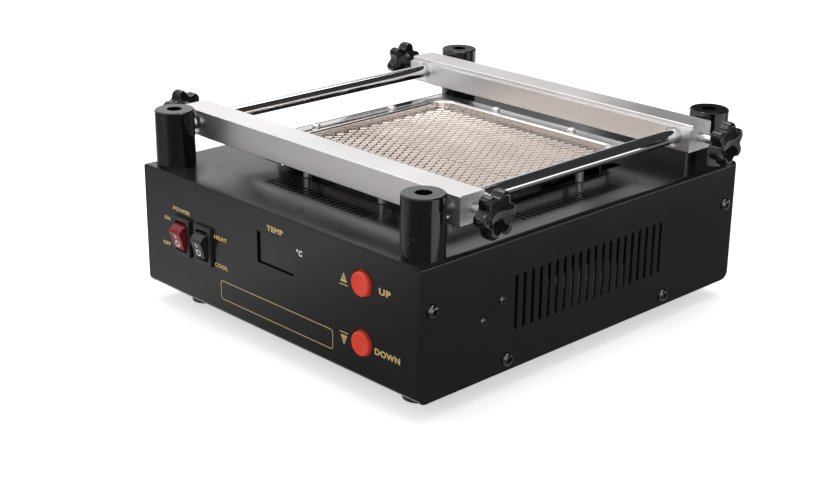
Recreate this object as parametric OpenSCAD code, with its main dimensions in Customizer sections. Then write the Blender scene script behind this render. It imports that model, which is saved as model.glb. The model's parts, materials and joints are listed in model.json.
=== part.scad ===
// Bench preheater for circuit boards: a sheet-steel case, a guarded ceramic heater on its top,
// and a board holder of two clamped rails that slide on rods between four posts.
// The front faces -Y, the floor that it stands on is Z = 0, and the origin is under its middle.

/* [Case] */
// Width across the cover's side walls
case_w = 221; // [205:1:240]
// Depth from the front panel to the rear panel
case_d = 251; // [240:1:280]
// Height of the cover's side walls
case_h = 71.2; // [69:0.1:85]
// Thickness of the steel sheet
sheet = 1.2; // [0.8:0.1:1.6]
// Outer radius of the bends between the cover's top and sides
cover_bend = 2; // [1.8:0.1:3]
// Radius of the lower corners of the cover's sides
cover_corner = 5; // [2:0.5:8]
// Height of the floor's underside above the cover's lower edge
floor_lift = 1.2; // [0.5:0.1:3]
// Outer radius of the chassis bends along the floor
floor_bend = 3; // [2:0.1:4]
// Width of the lips that stiffen the chassis panels
panel_lip = 6; // [4:0.5:7]

/* [Feet] */
// Length of a foot below the cover's lower edge
foot_drop = 9.6; // [6:0.1:15]
// Diameter of a foot
foot_d = 19; // [16:0.5:22]
// Distance of a foot's axis from the outside of the case
foot_inset = 23; // [20:0.5:26]
// Depth of the recess in a foot for its screw
foot_recess = 4; // [3:0.5:5]

/* [Vents] */
// Length of a slot in the cover's top
top_slot_l = 11; // [8:0.5:12]
// Width of a slot in the cover's top
top_slot_w = 1.8; // [1.2:0.1:2.4]
// Pitch of the slots in the cover's top
top_slot_pitch = 3.8; // [3:0.1:4.2]
// Slots in each row of the cover's top
top_slot_count = 21; // [9:2:21]
// Distance of the middle of each slot row from the heater's flange
top_slot_gap = 12.5; // [8:0.5:13]
// Height of a slot in a side wall
side_slot_h = 29.7; // [20:0.1:34]
// Width of a slot in a side wall
side_slot_w = 2.3; // [1.5:0.1:3]
// Pitch of the slots in a side wall
side_slot_pitch = 6.1; // [5:0.1:6.3]
// Slots in each side wall
side_slot_count = 20; // [10:2:20]
// Height of the slots' middle above the cover's lower edge
side_slot_z = 35.8; // [33:0.1:40]

/* [Posts and rods] */
// Diameter of a post
post_d = 22; // [20:0.5:23]
// Height of a post
post_h = 31.2; // [29:0.1:36]
// Distance of a post's axis from the side of the case
post_inset_x = 12; // [11.5:0.1:14]
// Distance of a post's axis from the front or rear of the case
post_inset_y = 13.5; // [12:0.1:15]
// Diameter of the screw recess down a post
post_bore = 8.5; // [8.2:0.1:9]
// Height of the screw's seat above the cover
post_seat = 9; // [6:0.5:12]
// Wall between a rod's socket and the screw recess
post_wall = 1.25; // [0.8:0.05:2]
// Diameter of a guide rod
rod_d = 8; // [7:0.1:9]

/* [Rails] */
// Width of a rail, front to back
rail_w = 19; // [17:0.5:22]
// Height of a rail
rail_h = 15; // [13.5:0.5:17]
// Gap between the cover's top and a rail
rail_lift = 13.8; // [13.5:0.1:15]
// Length of a rail past the rod's axis
rail_overhang = 11; // [10:0.5:13]
// Gap between a rail and its posts
rail_gap = 2.4; // [1.5:0.1:6]
// Width of the ledge that carries the board
ledge_w = 2.3; // [1.5:0.1:4]
// Depth of the ledge below the rail's top
ledge_h = 2.5; // [1.5:0.1:3]

/* [Clamp knobs] */
// Diameter over the lobes of a knob
knob_d = 25; // [22:0.2:27]
// Lobes of a knob
knob_lobes = 6; // [5:1:8]
// Thickness of a knob's grip
knob_grip = 7.5; // [6.5:0.5:10]
// Length of a knob's hub
knob_hub = 3.5; // [2:0.5:5]
// Depth of the dish in a knob's face
knob_dish = 3; // [1.5:0.1:3.4]
// Diameter of a clamp stud
stud_d = 5; // [4:0.5:6]
// How far each knob stands off its rail: front left, front right, rear left, rear right
knob_standoff = [6.5, 6.5, 10, 10]; // [3:0.1:11]
// Angle at which each knob rests, in the same order
knob_clock = [40, 7, 15, 27]; // [0:1:60]

/* [Heater] */
// Width and depth of the heater tray
heater_w = 139; // [134:0.5:142]
// Corner radius of the heater tray
heater_corner = 10; // [8:0.5:14]
// Width of the tray's flange
flange_w = 10; // [9.5:0.1:11]
// Height of the flange's top above the cover
heater_lift = 10.3; // [9.5:0.1:10.5]
// Thickness of the tray's steel
tray_t = 0.8; // [0.6:0.1:1]
// Depth of the guard's recess below the flange
guard_drop = 4.2; // [3:0.1:5]
// Thickness of the guard
guard_t = 1.4; // [1:0.1:1.8]
// Long diagonal of a guard opening, along Y
guard_long = 11.3; // [10:0.1:14]
// Short diagonal of a guard opening, along X
guard_short = 5.1; // [4.8:0.1:6]
// Width of a guard strand
guard_strand = 1; // [0.8:0.05:1.3]
// Thickness of a ceramic plate
plate_t = 8; // [6:0.5:10]
// Thickness of the insulation board
insulation_t = 15; // [10:0.5:18]
// Distance from the middle to the outer screws of each flange side
flange_screw_x = 30; // [24:1:40]

/* [Switches] */
// Place of the power switch, from the middle
power_x = -75.5; // [-80:0.5:-74]
// Place of the heat and cool switch, from the middle
mode_x = -56.4; // [-57.5:0.1:-50]
// Height of the switches above the cover's lower edge
switch_z = 37.3; // [30:0.1:44]
// Width of a switch bezel
bezel_w = 15; // [14.6:0.1:16]
// Height of a switch bezel
bezel_h = 22; // [21.5:0.1:24]
// Thickness of a switch bezel
bezel_t = 2; // [1.5:0.1:2.5]
// Angle through which a rocker tips
rocker_tip = 33; // [28:1:36]

/* [Display and buttons] */
// Place of the display window, from the middle
display_x = 4; // [0:0.5:8]
// Distance of the display's middle below the cover's top
display_drop = 21.9; // [20:0.1:27]
// Width of the display window
display_w = 29; // [24:0.5:34]
// Height of the display window
display_h = 17.5; // [14:0.5:20]
// Thickness of the lens
lens_t = 2; // [1.5:0.1:3]
// Depth of the display module
display_depth = 8; // [7.6:0.1:10]
// Place of the buttons, from the middle
button_x = 71; // [60:0.5:74]
// Distance of the upper button below the cover's top
up_drop = 18.9; // [18:0.1:23]
// Height of the lower button above the cover's lower edge
down_lift = 20.9; // [19:0.1:24]
// Diameter of a button
button_d = 14; // [10:0.5:16]
// How far a button stands out of the panel
button_proud = 2.2; // [1.5:0.1:4]
// Travel of a button
button_travel = 0.8; // [0.4:0.1:1]

/* [Rear panel and inside] */
// Place of the fan's axis, from the middle
fan_x = -58; // [-70:0.5:-52]
// Width and height of the fan
fan_w = 50; // [40:1:54]
// Depth of the fan
fan_depth = 15; // [14:0.5:20]
// Place of the mains inlet, from the middle
inlet_x = 72; // [66:0.5:76]
// Place of the fuse holder, from the middle
fuse_x = 36; // [32:0.5:38]
// Height of the inlet and fuse holder above the cover's lower edge
inlet_z = 28; // [24:0.5:36]
// Place of the transformer, from the middle
transformer_x = 2; // [-2:0.5:5]
// Width of the triac's heat sink
sink_w = 34; // [30:0.5:36]
// Height of the triac's heat sink
sink_h = 36; // [30:0.5:40]

/* [Hidden] */
$fn = 64;
// Gap between parts that only have to clear each other
fit = 0.1;
// Radial gap of a turning or sliding fit
running = 0.06;
// Overshoot of a cutting tool
cut = 1;

front_y = -case_d / 2;
rear_y = case_d / 2;
side_x = case_w / 2;
cover_z = foot_drop;
top_z = cover_z + case_h;
floor_z = cover_z + floor_lift;
inner_z = floor_z + sheet;
ceiling_z = top_z - sheet;
panel_y = front_y + sheet;
back_y = rear_y - sheet;
chassis_w = case_w - 2 * sheet - 2 * fit;

// Cover screws: places along the side walls and heights above the cover's lower edge
upper_screw_inset = 8.5;
upper_screw_y = case_d / 2 - upper_screw_inset;
upper_screw_drop = 23.7;
upper_screw_z = case_h - upper_screw_drop;
lower_screw_y = 63.5;
lower_screw_z = 6.4;
cover_screw = 4;
cover_head = 7;
cover_head_h = 2;
cover_tail = 6;
tab_depth = 14;
tab_h = 40;
side_lip = 11;
lip_end = 15;
side_lip_l = 2 * (lower_screw_y + lip_end);

// Posts, rods and their screws
post_x = side_x - post_inset_x;
post_y = case_d / 2 - post_inset_y;
post_top = top_z + post_h;
post_edge = 0.6;
rod_seat = (post_d - post_bore) / 2 - post_wall;
rod_half = post_y - post_d / 2 + rod_seat - fit;
rod_z = top_z + rail_lift + rail_h / 2;
post_screw = 5;
post_head = 8;
post_head_h = 5;
post_nut = 9.2;
post_nut_h = 4;
post_tail = 6;

// Rails and clamp knobs
rail_half = post_x + rail_overhang;
rail_y = post_y - post_d / 2 - rail_gap;
rail_z = top_z + rail_lift;
rail_edge = 0.5;
bore_mouth = 1.5;
knob_lobe = 3.5;
knob_bore = knob_hub + knob_grip - knob_dish - 1.5;
stud_clear = 0.7;
stud_tip = post_x + rod_d / 2 + stud_clear;
stud_edge = 0.6;

// Heater
flange_z = top_z + heater_lift;
guard_z = flange_z - guard_drop - guard_t;
tray_ledge = 5;
tray_inner = heater_w - 2 * tray_t;
well_w = heater_w - 2 * tray_ledge;
plate_gap = 2;
plate_drop = 2;
plate_z = guard_z - plate_drop - plate_t;
tray_z = plate_z - insulation_t;
plate_w = well_w - plate_gap;
plate_d = (plate_w - plate_gap) / 2;
plate_grooves = 5;
plate_groove_r = 6;
plate_groove_depth = 1.2;
cover_opening = heater_w + 3;
flange_mid = heater_w / 2 + flange_w / 2;
flange_screw = 3;
flange_head = 5.2;
flange_head_h = 2;
spacer_d = 4.8;
flange_nut = 6.3;
flange_nut_h = 2.4;
flange_tail = 1.5;
probe_d = 1.6;
probe_tail = 12;
flange_places = concat(
  [for (sx = [-1, 1], sy = [-1, 1]) [sx * flange_screw_x, sy * flange_mid]],
  [for (sx = [-1, 1], sy = [-1, 1]) [sx * flange_mid, sy * flange_screw_x]]
);

// Switches
switch_top_z = cover_z + switch_z;
barrel_w = bezel_w - 2;
barrel_h = bezel_h - 2.4;
barrel_l = 16;
well_wall = 1.5;
rocker_gap = 0.3;
rocker_w = barrel_w - 2 * well_wall - 2 * rocker_gap;
well_h = barrel_h - 2 * well_wall + 0.4;
rocker_mouth = 1.1;
rocker_r = well_h / 2 - rocker_mouth;
well_l = 12;
pivot_y = front_y;
pivot_d = 3;
pivot_l = barrel_w - well_wall;
rocker_face = bezel_t + 3.5;
rocker_hollow = 0.5;
rocker_back = 3;
terminal = [0.8, 9, 4.8];
terminal_z = [-6, 0, 6];

// Display, board and buttons
window_z = top_z - display_drop;
up_z = top_z - up_drop;
down_z = cover_z + down_lift;
lens_y = panel_y + lens_t;
board_y = lens_y + display_depth;
board_t = 1.6;
board_margin = 12;
board_end = 16;
board_below = 11;
board_above = 13;
board_x0 = display_x - display_w / 2 - board_margin;
board_x1 = button_x + board_end;
board_z0 = down_z - board_below;
board_z1 = up_z + board_above;
board_inset = 4.5;
board_spacer = 6;
board_screw = 3;
board_tail = 6;
board_places = [for (x = [board_x0 + board_inset, board_x1 - board_inset],
                     z = [board_z0 + board_inset, board_z1 - board_inset]) [x, z]];
button_flange = button_d + 3;
button_flange_t = 1.2;
stem_d = 5;
tact = [6, 3.4, 6];
tact_pin = 0.6;

// Rear panel
fan_z = floor_z + floor_bend + fan_w / 2 + 2 * fit;
fan_rim = 1.5;
fan_bore = fan_w - 2 * fan_rim;
fan_hub = 22;
fan_plate = 3;
fan_shaft = 3;
fan_blades = 7;
fan_blade_tilt = 38;
fan_blade_t = 1.2;
fan_hole = 4.3;
fan_hole_inset = 5;
fan_hole_x = fan_w / 2 - fan_hole_inset;
fan_vent_rim = 2;
fan_tail = 10;
rear_z = cover_z + inlet_z;
inlet_flange = [48, 3, 24];
inlet_barrel = [28, 22, 20];
inlet_socket = [24.4, 17, 16.8];
inlet_bevel = 4;
inlet_pin = [2, 4];
inlet_pin_back = 8;
inlet_pin_sunk = 5;
inlet_pins = [[-7, -2], [0, 2], [7, -2]];
inlet_screw_x = 20;
fuse_d = 12;
fuse_l = 28;
fuse_flange = 15.5;
fuse_flange_t = 2;
fuse_cap_d = 11;
fuse_cap_h = 3.5;

// Pieces on the right wall and the floor
sink_screws = [[front_y + 43.5, 32.3], [front_y + 56.9, 39.9]];
sink_screw = 2.5;
sink_head = 4.2;
sink_head_h = 1.3;
inlet_screw = 3;
small_head = 5.5;
small_head_h = 1.6;
small_tail = 4;
sink_y = (sink_screws[0][0] + sink_screws[1][0]) / 2;
sink_z = cover_z + (sink_screws[0][1] + sink_screws[1][1]) / 2;
sink_base = 3;
sink_fin = [15, 1.6];
sink_x = side_x - sheet - sink_base;
triac = [4.5, 10, 15];
core = [42, 14, 34];
coil = [28, 28, 22];
transformer_y = rear_y - 34;
block = [16, 50, 18];
block_x = side_x - 28;
block_y = 30;
block_ways = 5;
block_hole = 5;
block_hole_depth = 6;
floor_slot = [3, 44];
floor_slots = 9;
floor_slot_pitch = 9;

// Flat shapes

module rounded_rect(w, d, r) {
  square([w, d - 2 * r], center = true);
  square([w - 2 * r, d], center = true);
  for (x = [-1, 1], y = [-1, 1]) translate([x * (w / 2 - r), y * (d / 2 - r)]) circle(r);
}

module slot(w, l) {
  square([w, l - w], center = true);
  for (s = [-1, 1]) translate([0, s * (l - w) / 2]) circle(d = w);
}

module slot_row(count, pitch, w, l) {
  for (i = [0 : count - 1]) translate([(i - (count - 1) / 2) * pitch, 0]) slot(w, l);
}

// Solid section of a trough: flat top, rounded lower corners, lowest point at Y = 0
module trough(w, h, r) {
  translate([-w / 2, r]) square([w, h - r]);
  translate([-w / 2 + r, 0]) square([w - 2 * r, r]);
  for (s = [-1, 1]) translate([s * (w / 2 - r), r]) circle(r);
}

module bent_sheet(w, h, r) {
  difference() {
    trough(w, h, r);
    translate([0, sheet]) trough(w - 2 * sheet, h, r - sheet);
  }
}

// Placing of flat shapes on the walls: X and Z on a front wall, Y and Z on a side wall

module on_front(y, t) translate([0, y + t, 0]) rotate([90, 0, 0]) linear_extrude(t) children();

module on_side(x, t) translate([x, 0, 0]) rotate([90, 0, 90]) linear_extrude(t) children();

// A screw with its head above Z = 0 and its shank below
module screw(d, l, head_d, head_h) {
  translate([0, 0, -l]) cylinder(d = d, h = l);
  cylinder(d = head_d, h = head_h * 0.55);
  translate([0, 0, head_h * 0.55]) cylinder(d1 = head_d, d2 = head_d * 0.7, h = head_h * 0.45);
}

module nut(width, h, bore) {
  difference() {
    cylinder(d = width, h = h, $fn = 6);
    translate([0, 0, -cut]) cylinder(d = bore + 2 * running, h = h + 2 * cut);
  }
}

// Case

module front_openings() {
  for (x = [power_x, mode_x])
    translate([x, switch_top_z]) square([barrel_w + 2 * fit, barrel_h + 2 * fit], center = true);
  translate([display_x, window_z]) square([display_w, display_h], center = true);
  for (z = [up_z, down_z]) translate([button_x, z]) circle(d = button_d + 4 * fit);
}

module fan_vent() {
  reach = fan_bore / 2 - fan_vent_rim;
  steps = floor(reach / side_slot_pitch);
  for (i = [-steps : steps]) {
    x = i * side_slot_pitch;
    translate([fan_x + x, fan_z]) slot(side_slot_w, 2 * sqrt(reach * reach - x * x));
  }
  for (x = [-1, 1], z = [-1, 1])
    translate([fan_x + x * fan_hole_x, fan_z + z * fan_hole_x]) circle(d = fan_hole);
}

module rear_openings() {
  fan_vent();
  translate([inlet_x, rear_z]) square([inlet_barrel[0] + 2 * fit, inlet_barrel[2] + 2 * fit], center = true);
  for (s = [-1, 1]) translate([inlet_x + s * inlet_screw_x, rear_z]) circle(d = inlet_screw + 2 * fit);
  translate([fuse_x, rear_z]) circle(d = fuse_d + 2 * fit);
}

module base_chassis() color([0.16, 0.16, 0.17]) difference() {
  union() {
    translate([-chassis_w / 2, 0, floor_z]) rotate([90, 0, 90]) linear_extrude(chassis_w) {
      bent_sheet(case_d, ceiling_z - fit - floor_z, floor_bend);
      for (s = [-1, 1])
        translate([s * (case_d - panel_lip) / 2, ceiling_z - fit - floor_z - sheet / 2])
          square([panel_lip, sheet], center = true);
    }
    for (s = [-1, 1]) {
      // Tabs behind the panels, which the upper cover screws hold
      for (y = [panel_y, back_y - tab_depth])
        translate([s * (chassis_w - sheet) / 2 - sheet / 2, y, cover_z + upper_screw_z - tab_h / 2])
          cube([sheet, tab_depth, tab_h]);
      // Lips along the floor, which the lower cover screws hold
      translate([s * (chassis_w - sheet) / 2 - sheet / 2, -side_lip_l / 2, floor_z])
        cube([sheet, side_lip_l, side_lip]);
    }
  }
  on_front(front_y - cut, sheet + 2 * cut) front_openings();
  on_front(back_y - cut, sheet + 2 * cut) rear_openings();
  translate([0, 0, floor_z - cut]) linear_extrude(sheet + 2 * cut) {
    slot_row(floor_slots, floor_slot_pitch, floor_slot[0], floor_slot[1]);
    for (x = [-1, 1], y = [-1, 1])
      translate([x * (side_x - foot_inset), y * (case_d / 2 - foot_inset)]) circle(d = cover_screw + 2 * fit);
  }
  on_side(-side_x, case_w) cover_screw_places() circle(d = cover_screw + 2 * fit);
  // Notches that clear the cover's bends
  for (s = [-1, 1]) translate([s * chassis_w / 2, 0, ceiling_z - fit])
    cube([2 * (cover_bend - sheet), case_d + 2 * cut, 2 * (cover_bend - sheet)], center = true);
}

module cover_screw_places() {
  for (s = [-1, 1]) {
    translate([s * upper_screw_y, cover_z + upper_screw_z]) children();
    translate([s * lower_screw_y, cover_z + lower_screw_z]) children();
  }
}

module sink_screw_places() {
  for (p = sink_screws) translate([p[0], cover_z + p[1]]) children();
}

// Rounds the lower corners of the cover's sides
module corner_cutter() {
  for (s = [-1, 1]) translate([s * case_d / 2, cover_z]) mirror([s > 0 ? 1 : 0, 0]) difference() {
    translate([-cut, -cut]) square(cover_corner + cut);
    translate([cover_corner, cover_corner]) circle(cover_corner);
    translate([cover_corner, -2 * cut]) square(cover_corner);
    translate([-2 * cut, cover_corner]) square(cover_corner);
  }
}

module top_openings() {
  square(cover_opening, center = true);
  for (s = [-1, 1]) {
    translate([0, s * (heater_w / 2 + flange_w + top_slot_gap)])
      slot_row(top_slot_count, top_slot_pitch, top_slot_w, top_slot_l);
    translate([s * (heater_w / 2 + flange_w + top_slot_gap), 0]) rotate(90)
      slot_row(top_slot_count, top_slot_pitch, top_slot_w, top_slot_l);
  }
  for (x = [-1, 1], y = [-1, 1]) translate([x * post_x, y * post_y]) circle(d = post_screw + 2 * fit);
  for (p = flange_places) translate(p) circle(d = flange_screw + 2 * fit);
}

module top_cover() color([0.13, 0.13, 0.14]) difference() {
  translate([0, -front_y, top_z]) rotate([90, 180, 0]) linear_extrude(case_d)
    bent_sheet(case_w, case_h, cover_bend);
  translate([0, 0, ceiling_z - cut]) linear_extrude(sheet + 2 * cut) top_openings();
  on_side(-side_x - cut, case_w + 2 * cut) {
    translate([0, cover_z + side_slot_z])
      slot_row(side_slot_count, side_slot_pitch, side_slot_w, side_slot_h);
    cover_screw_places() circle(d = cover_screw + 2 * fit);
    corner_cutter();
  }
  on_side(side_x - sheet - cut, sheet + 2 * cut) sink_screw_places() circle(d = sink_screw + 2 * fit);
}

module cover_screws() color([0.1, 0.1, 0.1]) {
  for (s = [-1, 1]) translate([s * side_x, 0, 0]) rotate([90, 0, 90]) cover_screw_places()
    rotate([0, s > 0 ? 0 : 180, 0]) screw(cover_screw, cover_tail, cover_head, cover_head_h);
}

// Feet

module foot(sx, sy) color([0.08, 0.08, 0.08])
  translate([sx * (side_x - foot_inset), sy * (case_d / 2 - foot_inset), 0]) difference() {
    cylinder(d1 = foot_d - 2, d2 = foot_d, h = floor_z);
    translate([0, 0, -cut]) cylinder(d = cover_head + 2, h = foot_recess + cut);
    cylinder(d = cover_screw + 2 * fit, h = floor_z + cut);
  }

module foot_screws() color([0.6, 0.6, 0.6])
  for (x = [-1, 1], y = [-1, 1])
    translate([x * (side_x - foot_inset), y * (case_d / 2 - foot_inset), foot_recess])
      rotate([180, 0, 0]) screw(cover_screw, inner_z - foot_recess + small_tail, cover_head, cover_head_h);

// Posts and rods

module post(sx, sy) color([0.09, 0.09, 0.1]) translate([sx * post_x, sy * post_y, 0]) difference() {
  translate([0, 0, top_z]) {
    cylinder(d = post_d, h = post_h - post_edge);
    translate([0, 0, post_h - post_edge]) cylinder(d1 = post_d, d2 = post_d - 2 * post_edge, h = post_edge);
  }
  translate([0, 0, top_z + post_seat]) cylinder(d = post_bore, h = post_h);
  translate([0, 0, top_z - cut]) cylinder(d = post_screw + 2 * fit, h = post_h);
  translate([0, -sy * (post_d / 2 - rod_seat), rod_z]) rotate([sy * 90, 0, 0])
    cylinder(d = rod_d + 2 * running, h = post_d);
}

module post_screws() color([0.25, 0.25, 0.26])
  for (x = [-1, 1], y = [-1, 1]) translate([x * post_x, y * post_y, top_z + post_seat]) difference() {
    screw(post_screw, post_seat + sheet + post_tail, post_head, post_head_h);
    translate([0, 0, post_head_h / 2]) cylinder(d = post_screw * 0.9, h = post_head_h, $fn = 6);
  }

module post_nuts() color([0.7, 0.7, 0.7])
  for (x = [-1, 1], y = [-1, 1])
    translate([x * post_x, y * post_y, ceiling_z - post_nut_h]) nut(post_nut, post_nut_h, post_screw);

module guide_rod(sx) color([0.8, 0.8, 0.82])
  translate([sx * post_x, -rod_half, rod_z]) rotate([-90, 0, 0]) cylinder(d = rod_d, h = 2 * rod_half);

// Rails and clamp knobs

// Section of a rail: X runs from the outer face inwards, Y is up
module rail_section() {
  e = rail_edge;
  step = rail_h - ledge_h;
  polygon([
    [e, 0], [rail_w - e, 0], [rail_w, e], [rail_w, step], [rail_w - ledge_w, step],
    [rail_w - ledge_w, rail_h - e], [rail_w - ledge_w - e, rail_h], [e, rail_h], [0, rail_h - e], [0, e]
  ]);
}

module rail(sy) color([0.8, 0.8, 0.81]) difference() {
  translate([-rail_half, sy * rail_y, rail_z]) rotate([90, 0, 90]) mirror([sy > 0 ? 1 : 0, 0, 0])
    linear_extrude(2 * rail_half) rail_section();
  for (sx = [-1, 1]) {
    translate([sx * post_x, sy * rail_y, rod_z]) rotate([sy * 90, 0, 0]) {
      translate([0, 0, -cut]) cylinder(d = rod_d + 2 * running, h = rail_w + 2 * cut);
      translate([0, 0, rail_w - bore_mouth])
        cylinder(d1 = rod_d, d2 = rod_d + 2 * bore_mouth + 1, h = bore_mouth + fit);
      translate([0, 0, -fit]) cylinder(d1 = rod_d + 2 * bore_mouth + 1, d2 = rod_d, h = bore_mouth + fit);
    }
    translate([sx * post_x, sy * (rail_y - rail_w / 2), rod_z]) rotate([0, sx * 90, 0])
      cylinder(d = stud_d + 2 * running, h = rail_overhang + cut);
  }
}

// Places a clamp's pieces on the outward axis of its rail end, with the rail's end face at Z = 0
module at_clamp(sx, sy)
  translate([sx * rail_half, sy * (rail_y - rail_w / 2), rod_z]) rotate([0, sx * 90, 0]) children();

function clamp(list, sx, sy) = list[(sx > 0 ? 1 : 0) + (sy > 0 ? 2 : 0)];

function standoff(sx, sy) = clamp(knob_standoff, sx, sy);

module stud(sx, sy) color([0.75, 0.75, 0.77]) at_clamp(sx, sy) {
  tip = stud_tip - rail_half;
  translate([0, 0, tip]) cylinder(d1 = stud_d - 2 * stud_edge, d2 = stud_d, h = stud_edge);
  translate([0, 0, tip + stud_edge])
    cylinder(d = stud_d, h = standoff(sx, sy) + knob_bore - fit - tip - stud_edge);
}

module knob_outline(clock) {
  core = knob_d / 2 - knob_lobe;
  circle(core);
  for (i = [0 : knob_lobes - 1]) rotate(clock + (i + 0.5) * 360 / knob_lobes)
    translate([core, 0]) circle(knob_lobe);
}

module knob(sx, sy) color([0.07, 0.07, 0.07]) at_clamp(sx, sy) translate([0, 0, standoff(sx, sy)]) {
  rim = knob_d / 2 - knob_lobe;
  dish_r = (rim * rim + knob_dish * knob_dish) / (2 * knob_dish);
  difference() {
    union() {
      cylinder(d1 = 2 * stud_d, d2 = 2 * rim - 2, h = knob_hub);
      translate([0, 0, knob_hub]) linear_extrude(knob_grip) knob_outline(sx * clamp(knob_clock, sx, sy));
    }
    translate([0, 0, -cut]) cylinder(d = stud_d + 2 * running, h = knob_bore + cut);
    translate([0, 0, knob_hub + knob_grip - knob_dish + dish_r]) sphere(dish_r, $fn = 96);
  }
}

// Heater

module ring(outer, inner, r, t) linear_extrude(t) difference() {
  rounded_rect(outer, outer, r);
  rounded_rect(inner, inner, r - (outer - inner) / 2);
}

module heater_tray() color([0.75, 0.75, 0.74]) difference() {
  union() {
    translate([0, 0, flange_z - tray_t]) linear_extrude(tray_t) difference() {
      rounded_rect(heater_w + 2 * flange_w, heater_w + 2 * flange_w, 4);
      rounded_rect(tray_inner, tray_inner, heater_corner - tray_t);
    }
    translate([0, 0, guard_z]) ring(heater_w, tray_inner, heater_corner, flange_z - guard_z - tray_t);
    translate([0, 0, guard_z - tray_t]) linear_extrude(tray_t) difference() {
      rounded_rect(heater_w, heater_w, heater_corner);
      square(well_w, center = true);
    }
    translate([0, 0, tray_z]) linear_extrude(guard_z - tray_t - tray_z) difference() {
      square(well_w + 2 * tray_t, center = true);
      square(well_w, center = true);
    }
    translate([0, 0, tray_z - tray_t]) linear_extrude(tray_t) square(well_w + 2 * tray_t, center = true);
  }
  for (p = flange_places) translate([p[0], p[1], flange_z - tray_t - cut])
    cylinder(d = flange_screw + 2 * fit, h = tray_t + 2 * cut);
  translate([0, 0, tray_z - tray_t - cut]) cylinder(d = probe_d + 2 * fit, h = tray_t + 2 * cut);
}

module heater_spacers() color([0.8, 0.8, 0.8])
  for (p = flange_places) translate([p[0], p[1], top_z]) difference() {
    cylinder(d = spacer_d, h = heater_lift - tray_t);
    translate([0, 0, -cut]) cylinder(d = flange_screw + 2 * fit, h = heater_lift + 2 * cut);
  }

module heater_screws() color([0.85, 0.85, 0.85])
  for (p = flange_places) translate([p[0], p[1], flange_z])
    screw(flange_screw, heater_lift + sheet + flange_nut_h + flange_tail, flange_head, flange_head_h);

module heater_nuts() color([0.7, 0.7, 0.7])
  for (p = flange_places) translate([p[0], p[1], ceiling_z - flange_nut_h])
    nut(flange_nut, flange_nut_h, flange_screw);

module insulation_board() color([0.93, 0.92, 0.88]) translate([0, 0, tray_z]) difference() {
  linear_extrude(insulation_t) square(well_w - fit, center = true);
  translate([0, 0, -cut]) cylinder(d = probe_d + 2 * fit, h = insulation_t + 2 * cut);
}

module heater_plate(sy) color([0.93, 0.87, 0.8])
  translate([0, sy * (plate_d + plate_gap) / 2, plate_z]) difference() {
    linear_extrude(plate_t) rounded_rect(plate_w, plate_d, 3);
    for (i = [0 : plate_grooves - 1])
      translate([-plate_w / 2 - cut, (i - (plate_grooves - 1) / 2) * plate_d / plate_grooves,
                 plate_t + plate_groove_r - plate_groove_depth])
        rotate([0, 90, 0]) cylinder(r = plate_groove_r, h = plate_w + 2 * cut);
  }

module thermocouple() color([0.7, 0.68, 0.62])
  translate([0, 0, tray_z - probe_tail]) cylinder(d = probe_d, h = probe_tail + insulation_t + plate_t);

// Expanded metal: rows of diamonds, every other row set half a diamond across
module guard_openings(w) {
  spacing = guard_long * guard_short / norm([guard_long, guard_short]);
  share = 1 - guard_strand / spacing;
  columns = floor(w / guard_short / 2);
  rows = floor(w / guard_long);
  for (j = [-rows : rows]) {
    y = j * guard_long / 2;
    shift = j % 2 == 0 ? 0 : 0.5;
    if (abs(y) + guard_long / 2 <= w / 2)
      for (i = [-columns - 1 : columns]) {
        x = (i + shift) * guard_short;
        if (abs(x) + guard_short / 2 <= w / 2)
          translate([x, y]) polygon([
            [-guard_short / 2 * share, 0], [0, -guard_long / 2 * share],
            [guard_short / 2 * share, 0], [0, guard_long / 2 * share]
          ]);
      }
  }
}

module guard_mesh() color([0.72, 0.71, 0.69]) {
  guard_w = tray_inner - 4 * fit;
  translate([0, 0, guard_z]) linear_extrude(guard_t) difference() {
    rounded_rect(guard_w, guard_w, heater_corner - tray_t);
    guard_openings(guard_w - 2);
  }
}

// Switches

module switch_body(x) color([0.09, 0.09, 0.09]) translate([x, 0, switch_top_z]) difference() {
  union() {
    on_front(front_y - bezel_t, bezel_t) rounded_rect(bezel_w, bezel_h, 1);
    on_front(front_y, barrel_l) square([barrel_w, barrel_h], center = true);
  }
  on_front(front_y - bezel_t - cut, bezel_t + cut + well_l)
    square([barrel_w - 2 * well_wall, well_h], center = true);
  translate([0, pivot_y, 0]) rotate([0, 90, 0])
    cylinder(d = pivot_d + 2 * running, h = pivot_l + 2 * fit, center = true);
  for (z = terminal_z) translate([0, front_y + barrel_l, z])
    cube([terminal[0] + 2 * fit, 5, terminal[2] + 2 * fit], center = true);
}

module switch_terminals() color([0.8, 0.65, 0.3])
  for (x = [power_x, mode_x], z = terminal_z)
    translate([x - terminal[0] / 2, front_y + barrel_l - 2.4, switch_top_z + z - terminal[2] / 2])
      cube(terminal);

// Rocker at OFF: its hollow face points down by half of the tip, so that the upper ridge stands out
module rocker_section() {
  half = sqrt(rocker_r * rocker_r - rocker_face * rocker_face);
  hollow_r = (half * half + rocker_hollow * rocker_hollow) / (2 * rocker_hollow);
  rotate(-rocker_tip / 2) difference() {
    circle(rocker_r);
    translate([rocker_face - rocker_hollow + hollow_r, 0]) circle(hollow_r);
    translate([-rocker_back - rocker_r, -rocker_r]) square([rocker_r, 2 * rocker_r]);
  }
}

module rocker(x) translate([x, pivot_y, switch_top_z]) rotate([90, 0, -90]) {
  linear_extrude(rocker_w, center = true) rocker_section();
  cylinder(d = pivot_d, h = pivot_l, center = true);
}

module power_rocker() color([0.6, 0.05, 0.08]) rocker(power_x);

module mode_rocker() color([0.1, 0.1, 0.1]) rocker(mode_x);

// Display, board and buttons

module display_lens() color([0.12, 0.1, 0.1])
  on_front(panel_y, lens_t) translate([display_x, window_z]) rounded_rect(display_w + 6, display_h + 6, 1);

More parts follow.
